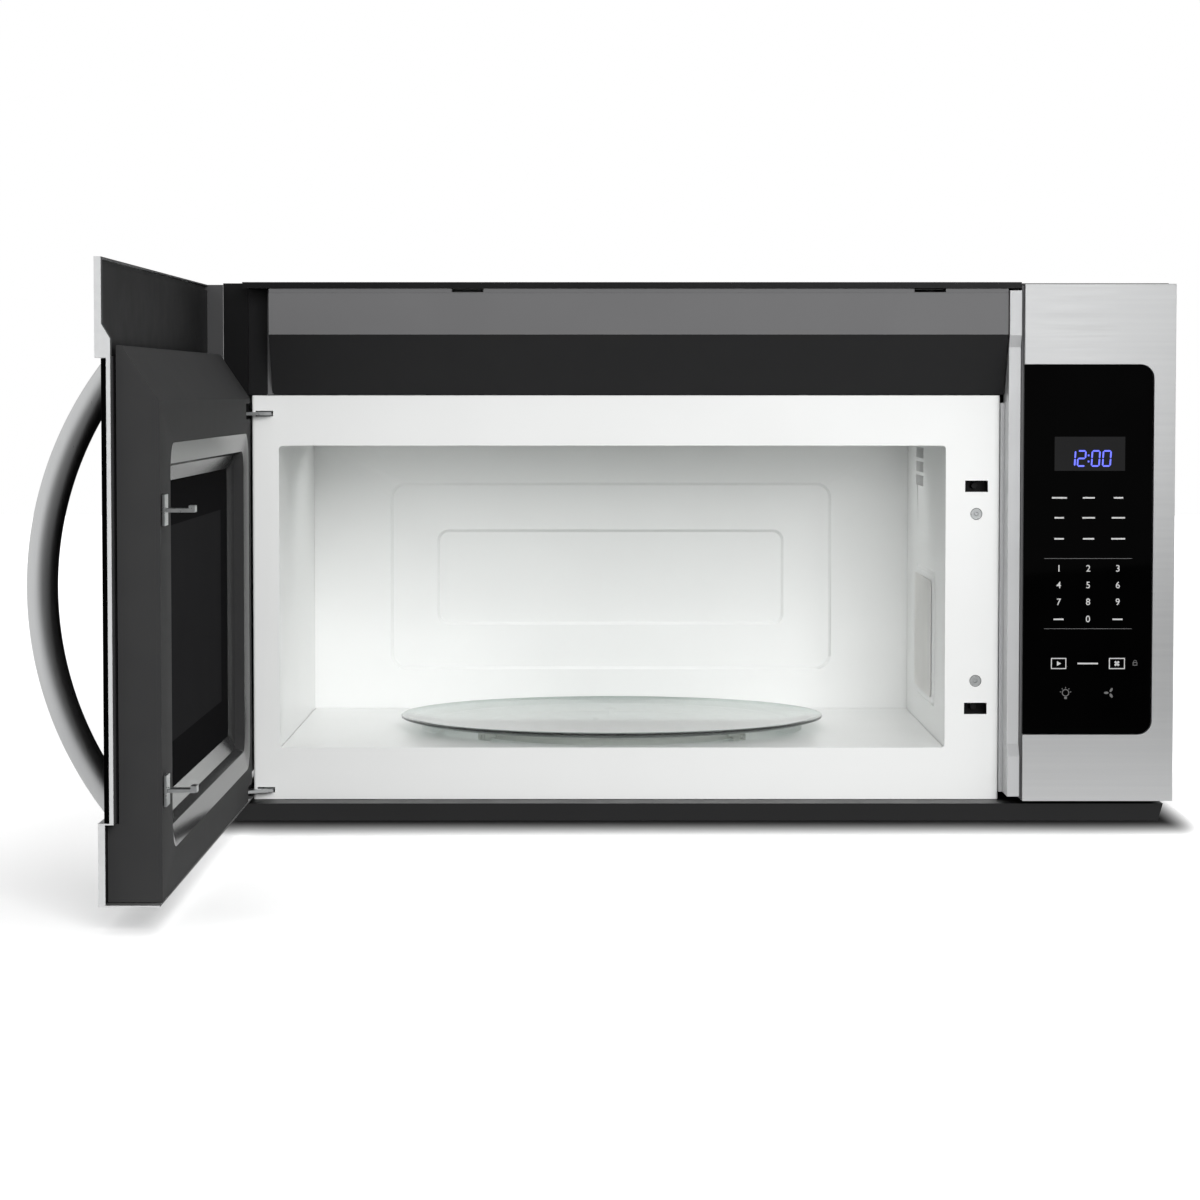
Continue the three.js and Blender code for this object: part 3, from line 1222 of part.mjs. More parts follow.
function panelTrim() {
  const top = FRONT_TOP - 5;
  const bottom = FRONT_BOTTOM + 3;
  const back = PLATE_RETURN - 2;
  const wall = 2;
  const profile = (inset) =>
    outline([
      [back + inset, bottom + inset / 2],
      [back + inset, top - inset / 2],
      [TRIM_BAND_Y + inset, top - inset / 2],
      [TRIM_BAND_Y + inset, GLASS_TOP + STEP_TOP + STEP_SLOPE],
      [TRIM_MIDDLE_Y + inset, GLASS_TOP + STEP_TOP],
      [TRIM_MIDDLE_Y + inset, GLASS_BOTTOM - STEP_BOTTOM],
      [TRIM_BAND_Y + inset, GLASS_BOTTOM - STEP_BOTTOM - STEP_SLOPE],
      [TRIM_BAND_Y + inset, bottom + inset / 2],
    ]);
  const hollow = alongX(profile(wall), TRIM_LEFT + wall, TRIM_RIGHT + 1);
  const flangeTop = PLATE_TOP - TRIM_FLANGE_INSET;
  const flangeBottom = PLATE_BOTTOM + TRIM_FLANGE_INSET;
  const flange = block(PLATE_RIGHT + 0.4, TRIM_LEFT + 1, -1.5, back, flangeBottom, flangeTop);
  return join(cut(alongX(profile(0), TRIM_LEFT, TRIM_RIGHT), hollow), flange);
}

// ---------------------------------------------------------------- door, drawn closed

const DOOR_GLASS_LEFT = DOOR_LEFT + GLASS_SIDE;
const BAND_DEPTH = 4.5; // the skin's returned edges
const HINGE_RETURN = 16.7; // its returned edge at the hinge side, which turns past the pins
const TRAY_FRONT = GLASS_BACK + GAP;
const TRAY_BACK = TRAY_FRONT + 2.7;
const LATCH_END = 7.5; // the skin's solid upper end next to the panel

function doorSkin() {
  const radii = [GLASS_RADIUS, 0, 0, GLASS_RADIUS];
  const back = FRONT_Y + BAND_DEPTH;
  const low = FRONT_BOTTOM + SKIN;
  const high = FRONT_TOP - SKIN;
  const pan = join(
    cut(
      block(DOOR_LEFT, DOOR_RIGHT, FRONT_Y, back, FRONT_BOTTOM, FRONT_TOP),
      block(DOOR_LEFT + SKIN, DOOR_RIGHT - SKIN, FRONT_Y + SKIN, back + 1, low, high),
    ),
    block(DOOR_LEFT, DOOR_LEFT + SKIN, FRONT_Y, FRONT_Y + HINGE_RETURN, FRONT_BOTTOM, FRONT_TOP),
    block(DOOR_LEFT, DOOR_RIGHT, FRONT_Y, BOX_BACK, FRONT_BOTTOM, FRONT_BOTTOM + SKIN),
  );
  const opening = rounded(DOOR_GLASS_LEFT, DOOR_RIGHT + 1, GLASS_BOTTOM, GLASS_TOP, radii);
  const lip = glassLip(DOOR_GLASS_LEFT - SKIN, DOOR_RIGHT, radii, TRAY_BACK - FRONT_Y);
  const tray = block(
    DOOR_GLASS_LEFT - SKIN,
    DOOR_RIGHT,
    TRAY_FRONT,
    TRAY_BACK,
    GLASS_BOTTOM - SKIN,
    GLASS_TOP + SKIN,
  );
  const slope = GLASS_TOP + STEP_TOP - STEP_ROOM;
  const end = outline([
    [FRONT_Y + SKIN / 2, GLASS_TOP + SKIN / 2],
    [TRAY_BACK, GLASS_TOP + SKIN / 2],
    [TRAY_BACK, slope],
    [back, slope + STEP_SLOPE],
    [back, high + SKIN / 2],
    [FRONT_Y + SKIN / 2, high + SKIN / 2],
  ]);
  const view = rounded(VIEW_LEFT, VIEW_RIGHT, VIEW_BOTTOM, VIEW_TOP, 8);
  return cut(
    join(
      cut(join(pan, lip), alongY(opening, FRONT_Y - 1, TRAY_FRONT)),
      tray,
      alongX(end, DOOR_RIGHT - LATCH_END, DOOR_RIGHT),
    ),
    alongY(view, TRAY_FRONT - 1, TRAY_BACK + 1),
  );
}

function doorGlass() {
  const r = GLASS_RADIUS - GAP;
  const pane = rounded(
    DOOR_GLASS_LEFT + GAP,
    DOOR_RIGHT - GAP,
    GLASS_BOTTOM + GAP,
    GLASS_TOP - GAP,
    [r, 0, 0, r],
  );
  return alongY(pane, GLASS_FRONT, GLASS_BACK);
}

const BOX_LEFT = HINGE_X + 6.5; // thick inner part of the door
const BOX_RIGHT = TRIM_LEFT - 3.8;
const BOX_FRONT = TRAY_BACK + 1.8;
const BOX_BACK = -3;
const BOX_SHOULDER = PLATE_TOP - 2.3; // where the slope under the hood starts
const BOX_TOP = BOX_SHOULDER + 35;
const BOX_WALL = 2.5;

const RECESS = {
  left: BOX_LEFT + 9,
  right: BOX_RIGHT - 60.5,
  bottom: CAVITY_FLOOR - 13.7,
  top: CAVITY_TOP + 12.3,
};
// The recess comes in from its edge by a shallow slope, a drop and a steeper slope down to the pane.
const RECESS_STEPS = [
  { inset: 0, depth: 0, radius: 24 },
  { inset: 16, depth: 3.2, radius: 13 },
  { inset: 18.5, depth: 10.4, radius: 12 },
  { inset: 29.4, depth: 15.2, radius: 6 },
];
const PANE_FRONT = BOX_BACK - 15.2 - GAP;
const PANE_INSET = 15;

// Clear view through the door, over the screen. It lies above and to the right of the recess's middle.
const VIEW_WIDTH = 265.9;
const VIEW_HEIGHT = 157.6;
const VIEW_RIGHT = RECESS.right - 103.9;
const VIEW_LEFT = VIEW_RIGHT - VIEW_WIDTH;
const VIEW_TOP = RECESS.top - 42.3;
const VIEW_BOTTOM = VIEW_TOP - VIEW_HEIGHT;

const LINER_BACK = FRONT_Y + BAND_DEPTH - 0.4; // steel liners behind the skin's bands
const BOX_BOTTOM = FRONT_BOTTOM + SKIN + GAP;

function boxProfile(wall) {
  return outline([
    [BOX_FRONT - (wall ? 1 : 0), BOX_BOTTOM + wall],
    [BOX_BACK - wall, BOX_BOTTOM + wall],
    [BOX_BACK - wall, BOX_SHOULDER - wall * 0.3],
    [BOX_BACK - 23.6 - wall * 0.5, BOX_TOP - wall],
    [BOX_FRONT - (wall ? 1 : 0), BOX_TOP - wall],
  ]);
}

function hingePocket(z) {
  const ear = block(BOX_LEFT - 1, BOX_LEFT + 15, BOX_FRONT - 1, HINGE_Y, z, z + HINGE_ARM + 4);
  return join(ear, block(BOX_LEFT - 1, ARM_RIGHT + 7, HINGE_Y - 8, 0, z - 3, z + HINGE_ARM + 7));
}

function recessOutline(inset, radius) {
  return rounded(
    RECESS.left + inset,
    RECESS.right - inset,
    RECESS.bottom + inset,
    RECESS.top - inset,
    radius,
  );
}

// The space of the recess, open at the door's inner face and at the pane.
function recessHollow() {
  const rim = RECESS_STEPS[0];
  const sill = RECESS_STEPS.at(-1);
  const steps = [{ ...rim, depth: rim.depth - 1 }, ...RECESS_STEPS, { ...sill, depth: sill.depth + 1 }];
  const slopes = steps.slice(1).map((step, i) => {
    const outer = steps[i];
    return taperedY(
      recessOutline(step.inset, step.radius),
      recessOutline(outer.inset, outer.radius),
      BOX_BACK - step.depth,
      BOX_BACK - outer.depth,
    );
  });
  return join(...slopes);
}

function chokeCover() {
  const shell = cut(
    alongX(boxProfile(0), BOX_LEFT, BOX_RIGHT),
    alongX(boxProfile(BOX_WALL), BOX_LEFT + BOX_WALL, BOX_RIGHT - BOX_WALL),
  );
  const endTop = GLASS_BOTTOM - SKIN - 2 * GAP;
  const end = block(
    BOX_RIGHT - BOX_WALL,
    BOX_RIGHT,
    LINER_BACK + GAP,
    BOX_FRONT + 1,
    BOX_BOTTOM,
    endTop,
  );
  const shelf = RECESS_STEPS[1];
  const shelfBack = BOX_BACK - shelf.depth - BOX_WALL;
  const collar = join(
    alongY(recessOutline(-BOX_WALL, 0), shelfBack, BOX_BACK - 0.2),
    alongY(recessOutline(shelf.inset - BOX_WALL, 0), PANE_FRONT + GAP, shelfBack + 1),
  );
  const seatTop = SPRING_BOTTOM - GAP;
  const seat = block(LATCH_X - 6, LATCH_X + 6, BAR_Y - 2, BOX_BACK - 1, seatTop - 2, seatTop);
  const bevel = outline([
    [BOX_RIGHT - BOX_WALL, BOX_BACK + 1],
    [BOX_RIGHT - BOX_WALL, BOX_BACK],
    [BOX_RIGHT, BOX_BACK - BOX_WALL],
    [BOX_RIGHT + 1, BOX_BACK - BOX_WALL],
    [BOX_RIGHT + 1, BOX_BACK + 1],
  ]);
  let cover = cut(
    join(shell, end, collar, seat),
    recessHollow(),
    alongZ(bevel, 0, BODY_HEIGHT),
    hingePocket(UPPER_HINGE),
    hingePocket(LOWER_HINGE),
  );
  for (const z of [UPPER_LATCH, LOWER_LATCH]) {
    cover = cut(cover, block(LATCH_X - 7, LATCH_X + 7, BOX_BACK - 5, 0, z - 5, z + 4.5));
  }
  return cover;
}

const GROOVE = 3.2; // open groove between the upper liner and the skin's top edge

// The door's steel frame: a plate behind the glass tray, liners behind the bands, and the hinge ears.
function doorFrame() {
  const plateFront = TRAY_BACK + GAP;
  const plateBack = plateFront + SHEET;
  const linerFront = FRONT_Y + SKIN + GAP;
  const left = DOOR_LEFT + SKIN + GAP;
  const right = DOOR_RIGHT - SKIN - GAP;
  const linerTop = FRONT_TOP - SKIN - GAP;
  const trayTop = GLASS_TOP + SKIN + GAP;
  const trayBottom = GLASS_BOTTOM - SKIN - GAP;
  const channel = outline([
    [plateBack, FRONT_BOTTOM + 1.6],
    [plateBack, trayTop + SHEET],
    [linerFront, trayTop + SHEET],
    [linerFront, trayTop],
    [plateFront, trayTop],
    [plateFront, trayBottom],
    [linerFront, trayBottom],
    [linerFront, trayBottom - SHEET],
    [plateFront, trayBottom - SHEET],
    [plateFront, FRONT_BOTTOM + 1.6],
  ]);
  let frame = join(
    alongX(channel, BOX_LEFT, BOX_RIGHT - BOX_WALL - GAP),
    block(left, DOOR_RIGHT - LATCH_END - GAP, linerFront, LINER_BACK, trayTop, linerTop),
    block(left, right, linerFront, LINER_BACK, BOX_BOTTOM, trayBottom),
  );
  const groove = block(left - 1, right, linerFront + SHEET, LINER_BACK + 1, linerTop - GROOVE, linerTop + 1);
  const view = rounded(VIEW_LEFT, VIEW_RIGHT, VIEW_BOTTOM, VIEW_TOP, 8);
  frame = cut(frame, groove, alongY(view, plateFront - 1, plateBack + 1));
  for (const z of [UPPER_HINGE, LOWER_HINGE]) {
    const z0 = z + HINGE_ARM + 0.6;
    const earLeft = DOOR_LEFT + SKIN + GAP;
    const ear = rounded(earLeft, BOX_LEFT + 14, plateFront, HINGE_Y + 6.5, [0, 0, 3, 5]);
    frame = join(frame, alongZ(ear, z0, z0 + 2.4));
    frame = cut(frame, rodZ(HINGE_PIN_RADIUS + 0.25, z0 - 1, z0 + 4, HINGE_X, HINGE_Y, 20));
  }
  return frame;
}

function doorScreen() {
  const y = TRAY_BACK + GAP + SHEET + GAP;
  return alongY(rounded(VIEW_LEFT - 12, VIEW_RIGHT + 12, VIEW_BOTTOM - 12, VIEW_TOP + 12, 6), y, y + 0.8, 3);
}

function innerWindow() {
  return alongY(recessOutline(PANE_INSET, 6), PANE_FRONT - 3, PANE_FRONT, 3);
}

// The handle is a bowed bar: an arc whose ends meet the glass.
const HANDLE_X = DOOR_RIGHT - 35;
const HANDLE_REACH = 49; // the bow in front of the door's face
const HANDLE_THICK = 20;
const HANDLE_WIDTH = 18;
const HANDLE_INSET = 2.7; // handle's ends inside the glass opening
const HANDLE_HALF = (GLASS_TOP - GLASS_BOTTOM) / 2 - HANDLE_INSET;
const HANDLE_OUTSIDE = (HANDLE_HALF ** 2 + HANDLE_REACH ** 2) / (2 * HANDLE_REACH); // radius
const HANDLE_RADIUS = HANDLE_OUTSIDE - HANDLE_THICK / 2;
const HANDLE_SWEEP = 1.15 * Math.asin(HANDLE_HALF / HANDLE_OUTSIDE); // runs on into the glass, then is cut

class HandleArc extends THREE.Curve {
  getPoint(t) {
    const angle = (2 * t - 1) * HANDLE_SWEEP;
    const y = FRONT_Y - HANDLE_REACH + HANDLE_OUTSIDE - HANDLE_RADIUS * Math.cos(angle);
    return new THREE.Vector3(HANDLE_X, y, (GLASS_BOTTOM + GLASS_TOP) / 2 + HANDLE_RADIUS * Math.sin(angle));
  }
}

function doorHandle() {
  const section = rounded(-HANDLE_WIDTH / 2, HANDLE_WIDTH / 2, -HANDLE_THICK / 2, HANDLE_THICK / 2, 7);
  const outlinePoints = new THREE.Shape(section.getPoints(2));
  const bar = new THREE.ExtrudeGeometry(outlinePoints, { steps: 18, extrudePath: new HandleArc() });
  const front = GLASS_FRONT - GAP;
  const half = HANDLE_WIDTH;
  const z0 = GLASS_BOTTOM + HANDLE_INSET;
  const z1 = GLASS_TOP - HANDLE_INSET;
  const room = block(HANDLE_X - half, HANDLE_X + half, FRONT_Y - 2 * HANDLE_REACH, front, z0, z1);
  return solid(bar).intersect(room);
}

// Latch bar: an upright bar in the door with two necks, collars and hooks.
const BAR_Y = BOX_BACK - 13;

function latchBar() {
  let bar = block(LATCH_X - 4, LATCH_X + 4, BAR_Y, BAR_Y + 8, LOWER_LATCH - 18, UPPER_LATCH + 18);
  for (const z of [UPPER_LATCH, LOWER_LATCH]) {
    const neck = block(LATCH_X - 6, LATCH_X + 6, BAR_Y + 1, HOOK_REACH, z - 0.4, z + 2);
    const collar = block(LATCH_X - 9, LATCH_X + 9, BOX_BACK + GAP, BOX_BACK + 2.3, z - 9, z + 11);
    const nose = block(LATCH_X - 6, LATCH_X + 6, HOOK_REACH - 4, HOOK_REACH, z - 0.4, z + 4);
    bar = join(bar, neck, collar, nose);
  }
  return bar;
}

class SpringCoil extends THREE.Curve {
  getPoint(t) {
    const angle = t * 2 * Math.PI * SPRING_TURNS;
    const z = SPRING_BOTTOM + 1 + t * (SPRING_TOP - SPRING_BOTTOM - 2);
    return new THREE.Vector3(LATCH_X + 3.4 * Math.cos(angle), BAR_Y + 4 + 3.4 * Math.sin(angle), z);
  }
}

const SPRING_TOP = LOWER_LATCH - 18 - GAP;
const SPRING_BOTTOM = SPRING_TOP - 24;
const SPRING_WIRE = 0.6;
const SPRING_TURNS = 6;

function latchSpring() {
  const wire = new THREE.Shape();
  wire.absarc(0, 0, SPRING_WIRE, 0, 2 * Math.PI, false);
  const section = new THREE.Shape(wire.getPoints(3).slice(0, -1));
  const path = { steps: 8 * SPRING_TURNS, extrudePath: new SpringCoil() };
  return solid(new THREE.ExtrudeGeometry(section, path));
}

// ---------------------------------------------------------------- assembly

const blackPaint = finish(0x26262a, 0.5, 0.1);
const hoodPaint = finish(0x5c5c60, 0.45, 0.2);
const whiteEnamel = finish(0xf0f0f0, 0.35);
const stainless = finish(0xc9c9cb, 0.35, 1);
const blackGlass = finish(0x08080a, 0.08);
const blackPlastic = finish(0x2c2c2f, 0.45);
const zinc = finish(0xb4b6ba, 0.4, 0.9);
const silverPlastic = finish(0xd6d6d8, 0.4);
const board = finish(0x2f6a43, 0.6);

add(body, "outer_wrapper", outerWrapper(), blackPaint.clone());
add(body, "rear_panel", rearPanel(), zinc.clone());
add(body, "base_pan", basePan(), blackPaint.clone());
add(body, "vent_hood", ventHood(), hoodPaint);
add(body, "cooktop_lens_left", cooktopLens(-1), finish(0xf4f2e8, 0.3, 0, 0.6));
add(body, "cooktop_lens_right", cooktopLens(1), finish(0xf4f2e8, 0.3, 0, 0.6));
add(body, "grease_filter_left", greaseFilter(-1), finish(0xb9bbbd, 0.5, 0.9));
add(body, "grease_filter_right", greaseFilter(1), finish(0xb9bbbd, 0.5, 0.9));
add(body, "charcoal_filter", charcoalFilter(), finish(0x1c1c1c, 0.9));

add(body, "cavity_front_plate", frontPlate(), whiteEnamel.clone());
add(body, "cavity_wrapper", cavityWrapper(), whiteEnamel.clone());
add(body, "cavity_floor", cavityFloor(), whiteEnamel.clone());
add(body, "cavity_back", cavityBack(), whiteEnamel.clone());
add(body, "waveguide_cover", waveguideCover(), finish(0xe6e2d8, 0.6));
add(body, "frame_screw_upper", frameScrew(UPPER_LATCH - SCREW_OFFSET), zinc.clone());
add(body, "frame_screw_lower", frameScrew(LOWER_LATCH + SCREW_OFFSET), zinc.clone());

add(body, "waveguide", waveguide(), zinc.clone());
add(body, "magnetron", magnetron(), finish(0x9da1a5, 0.4, 0.9));
add(body, "transformer_core", transformerCore(), finish(0x55575a, 0.6, 0.7));
add(body, "transformer_coil", transformerCoil(), finish(0xa85f2c, 0.4, 0.6));
add(body, "capacitor", capacitor(), finish(0xc4c6c8, 0.3, 0.9));
add(body, "high_voltage_diode", highVoltageDiode(), finish(0x1e1e20, 0.5));
add(body, "noise_filter_board", noiseFilterBoard(), board.clone());
add(body, "control_board", controlBoard(), board.clone());
add(body, "display_module", displayModule(), finish(0x1a1d22, 0.3));
add(body, "cavity_lamp", cavityLamp(), finish(0xe8e4d4, 0.3));
add(body, "cord_grommet", cordGrommet(), finish(0x161617, 0.8));

add(body, "fan_shroud", fanShroud(), blackPlastic.clone());
add(body, "cooling_fan_motor", coolingFanMotor(), finish(0x707377, 0.5, 0.8));
add(body, "cooling_fan", coolingFan(), finish(0xe0e0de, 0.5));
add(body, "blower_housing", blowerHousing(), zinc.clone());
add(body, "blower_motor", blowerMotor(), finish(0x707377, 0.5, 0.8));
add(body, "blower_wheels", blowerWheels(), finish(0x303234, 0.5));

add(body, "turntable_motor", turntableMotor(), zinc.clone());
add(body, "turntable_coupler", turntableCoupler(), finish(0xe8e6e0, 0.5));
add(body, "glass_tray", glassTray(), finish(0xd3e0dc, 0.05, 0, 0.4));
add(body, "roller_ring", rollerRing(), finish(0xe8e6e0, 0.5));
ROLLER_ANGLES.forEach((angle, i) => {
  add(body, "roller_" + (i + 1), roller(angle), finish(0xe8e6e0, 0.5));
});

add(body, "hinge_bracket_upper", hingeBracket(UPPER_HINGE), zinc.clone());
add(body, "hinge_bracket_lower", hingeBracket(LOWER_HINGE), zinc.clone());
add(body, "interlock_bracket", interlockBracket(), finish(0xe2e0da, 0.5));
add(body, "upper_switch", latchSwitch(UPPER_LATCH), finish(0x242426, 0.5));
add(body, "lower_switch", latchSwitch(LOWER_LATCH), finish(0x242426, 0.5));
add(body, "upper_switch_button", latchButton(UPPER_LATCH), finish(0xc83a2c, 0.5));
add(body, "lower_switch_button", latchButton(LOWER_LATCH), finish(0xc83a2c, 0.5));

add(body, "control_panel_frame", panelFrame(), stainless.clone());
add(body, "control_panel_housing", panelHousing(), blackPlastic.clone());
add(body, "control_glass", controlGlass(), blackGlass.clone());
add(body, "panel_side_trim", panelTrim(), silverPlastic);

add(door, "door_skin", doorSkin(), stainless.clone());
add(door, "door_glass", doorGlass(), blackGlass.clone());
add(door, "door_frame", doorFrame(), blackPaint.clone());
add(door, "choke_cover", chokeCover(), blackPlastic.clone());
add(door, "door_screen", doorScreen(), finish(0x18181a, 0.5, 0.3));
add(door, "inner_window", innerWindow(), finish(0x101012, 0.1, 0, 0.6));
add(door, "door_handle", doorHandle(), stainless.clone());
add(door, "latch_bar", latchBar(), zinc.clone());
add(door, "latch_spring", latchSpring(), zinc.clone());

export default microwave;
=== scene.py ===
# %% [markdown]
# # An over-the-range microwave with its door open
#
# This lesson dresses a finished model of a microwave that hangs over a cooker. The model comes in as
# fixed metal, glass and plastic parts at their real size, in metres. We give each of them the finish
# that its maker gives it, and model by hand what needs a finer surface than the fixed parts have: the
# bowed handle, the pressed glass tray, the printed keys and the lit clock.

import math

import bmesh
import bpy
from mathutils import Matrix, Vector


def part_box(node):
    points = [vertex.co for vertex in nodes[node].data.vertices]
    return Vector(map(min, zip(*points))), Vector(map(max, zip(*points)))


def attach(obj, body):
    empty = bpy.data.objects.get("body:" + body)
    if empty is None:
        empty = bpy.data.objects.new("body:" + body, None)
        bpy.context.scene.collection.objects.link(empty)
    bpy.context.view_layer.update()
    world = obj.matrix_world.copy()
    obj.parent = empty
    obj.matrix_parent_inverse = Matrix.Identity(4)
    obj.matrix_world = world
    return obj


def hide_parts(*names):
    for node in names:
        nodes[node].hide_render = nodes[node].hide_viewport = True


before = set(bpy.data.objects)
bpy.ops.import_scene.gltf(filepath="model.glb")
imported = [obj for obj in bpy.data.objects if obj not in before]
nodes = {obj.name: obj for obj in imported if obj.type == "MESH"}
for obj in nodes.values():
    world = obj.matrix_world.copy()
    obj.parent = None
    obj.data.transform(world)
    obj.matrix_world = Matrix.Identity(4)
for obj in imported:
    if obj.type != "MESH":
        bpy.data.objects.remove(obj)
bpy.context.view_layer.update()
MM = 0.001

# %% [markdown]
# ## The camera
#
# The picture was taken from far away with a long lens, a little above the middle of the oven, because
# that keeps upright edges upright. The same lens and the same distance give the same perspective. We
# turn the camera down by a small angle and leave its shift alone.

# %% Camera
CAMERA_PLACE = (-0.077, -3.170, 0.345)
CAMERA_DOWN = 0.0568  # radians below the level
LENS = 111  # mm

camera_data = bpy.data.cameras.new("camera")
camera_data.lens = LENS
camera_data.sensor_width = 36  # mm, as of a full frame
camera = bpy.data.objects.new("camera", camera_data)
camera.location = CAMERA_PLACE
camera.rotation_euler = (math.pi / 2 - CAMERA_DOWN, 0, 0)
bpy.context.scene.collection.objects.link(camera)
bpy.context.scene.camera = camera
print("camera looks down", round(math.degrees(CAMERA_DOWN), 2), "degrees")

# %% [markdown]
# ## Small helpers for materials
#
# A screen shows colours as sRGB values, but Cycles works with linear light, so one function turns a hex
# colour into linear light. A second one adds a shader node, sets what we name and links what we give it.
# Every finish below is made with these two, so that each recipe reads from top to bottom.

# %% Colour and node helpers
MIX_SHARE, MIX_FIRST, MIX_SECOND, MIX_RESULT = 0, 6, 7, 2  # the sockets of a Mix node for colours


def linear(hex_colour):
    """A hex colour as the linear red, green, blue and alpha that shaders use."""
    channels = [int(hex_colour[i : i + 2], 16) / 255 for i in (1, 3, 5)]
    bright = [c / 12.92 if c <= 0.04045 else ((c + 0.055) / 1.055) ** 2.4 for c in channels]
    return (*bright, 1.0)


def add_node(tree, kind, settings=None, links=None):
    """Adds a node, sets its sockets or properties and links its inputs, by their name or number."""
    new = tree.nodes.new(kind)
    for name, value in (settings or {}).items():
        if isinstance(name, int) or name in new.inputs:
            new.inputs[name].default_value = value
        else:
            setattr(new, name, value)
    for name, source in (links or {}).items():
        tree.links.new(source, new.inputs[name])
    return new


def start_material(name, settings):
    """A new material, its node tree and its main shader with these values."""
    material = bpy.data.materials.new(name)
    material.use_nodes = True
    shader = material.node_tree.nodes["Principled BSDF"]
    for socket, value in settings.items():
        shader.inputs[socket].default_value = value
    return material, material.node_tree, shader


def per_metre(size_mm):
    """The texture scale at which one cell of a pattern is this wide."""
    return 1 / (size_mm * MM)


def waves_per_metre(size_mm):
    """The scale at which one wave of a Wave texture is this wide: its waves repeat every pi / 10."""
    return per_metre(size_mm) * math.pi / 10


def paint_by(tree, shader, pattern, dark, light):
    """The base colour goes from one hex colour to another as the pattern goes from 0 to 1."""
    ramp = add_node(tree, "ShaderNodeValToRGB", links={"Fac": pattern})
    ramp.color_ramp.elements[0].color = linear(dark)
    ramp.color_ramp.elements[1].color = linear(light)
    tree.links.new(ramp.outputs["Color"], shader.inputs["Base Color"])


def gloss_by(tree, shader, pattern, smooth, rough):
    """The roughness goes from smooth to rough as the pattern goes from 0 to 1."""
    settings = {"To Min": smooth, "To Max": rough}
    span = add_node(tree, "ShaderNodeMapRange", settings, {"Value": pattern})
    tree.links.new(span.outputs["Result"], shader.inputs["Roughness"])


def relief_by(tree, shader, pattern, height_mm, strength=1.0):
    """The pattern stands out of the surface by this height."""
    settings = {"Distance": height_mm * MM, "Strength": strength}
    bump = add_node(tree, "ShaderNodeBump", settings, {"Height": pattern})
    tree.links.new(bump.outputs["Normal"], shader.inputs["Normal"])


def speckle(tree, size_mm, detail=2.0, stretch=(1, 1, 1)):
    """A noise with cells of this size, drawn out along the axes where stretch is above 1."""
    place = add_node(tree, "ShaderNodeTexCoord")
    scale = [per_metre(size_mm * s) for s in stretch]
    mapping = add_node(tree, "ShaderNodeMapping", {"Scale": scale}, {"Vector": place.outputs["Object"]})
    settings = {"Scale": 1.0, "Detail": detail}
    noise = add_node(tree, "ShaderNodeTexNoise", settings, {"Vector": mapping.outputs["Vector"]})
    return noise.outputs["Fac"]


def choose(tree, mask, first, second):
    """One value where the mask is 0, another where it's 1."""
    span = add_node(tree, "ShaderNodeMapRange", {"To Min": first, "To Max": second}, {"Value": mask})
    return span.outputs["Result"]


def facing(tree, axis, least):
    """A mask of the faces that look along an axis of the part by this share, or against it below 0."""
    place = add_node(tree, "ShaderNodeTexCoord")
    split = add_node(tree, "ShaderNodeSeparateXYZ", links={"Vector": place.outputs["Normal"]})
    test = {"operation": "GREATER_THAN" if least > 0 else "LESS_THAN", 1: least}
    return add_node(tree, "ShaderNodeMath", test, {0: split.outputs[axis]}).outputs["Value"]


def box_mask(tree, low, high):
    """A mask that is 1 inside a box of the part's own coordinates, given in mm."""
    place = add_node(tree, "ShaderNodeTexCoord")
    split = add_node(tree, "ShaderNodeSeparateXYZ", links={"Vector": place.outputs["Object"]})
    mask = None
    for axis, from_mm, to_mm in zip("XYZ", low, high):
        span = {"operation": "COMPARE", 1: (from_mm + to_mm) / 2 * MM, 2: (to_mm - from_mm) / 2 * MM}
        near = add_node(tree, "ShaderNodeMath", span, {0: split.outputs[axis]}).outputs["Value"]
        if mask:
            both = add_node(tree, "ShaderNodeMath", {"operation": "MULTIPLY"}, {0: mask, 1: near})
            near = both.outputs["Value"]
        mask = near
    return mask


def mottled(tree, mask, size_mm, least=0.9):
    """The mask with a faint unevenness of this size."""
    uneven = choose(tree, speckle(tree, size_mm), least, 1.0)
    product = add_node(tree, "ShaderNodeMath", {"operation": "MULTIPLY"}, {0: mask, 1: uneven})
    return product.outputs["Value"]


print("mid grey #808080 is", round(linear("#808080")[0], 3), "in linear light")

# %% [markdown]
# ## Powder-coated steel
#
# The case is bent from sheet steel and powder coated black. The powder melts and flows together, which
# leaves a soft, fine orange peel: the highlights break up a little and no reflection is sharp. The vent
# hood has the same coat in dark grey on its front. A fine noise gives the peel, and a broad one a slight
# change of gloss from place to place.

# %% Powder coats
PEEL = 1.6  # mm from dimple to dimple
PEEL_HEIGHT = 0.02  # mm
HOOD_FRONT = ((-344, -300, 300), (400, 0, 440))  # mm, two corners of a box around the hood's front


def powder_coat(name, specular, smooth, rough):
    """A coat with its orange peel and its gloss, still without a colour."""
    coat, tree, shader = start_material(name, {"IOR": 1.45, "Specular IOR Level": specular})
    gloss_by(tree, shader, speckle(tree, 25), smooth, rough)
    relief_by(tree, shader, speckle(tree, PEEL), PEEL_HEIGHT)
    return coat, tree, shader


black_powder_coat, tree, shader = powder_coat("satin_black_powder_coat", 0.4, 0.36, 0.48)
paint_by(tree, shader, speckle(tree, 60), "#101011", "#161617")

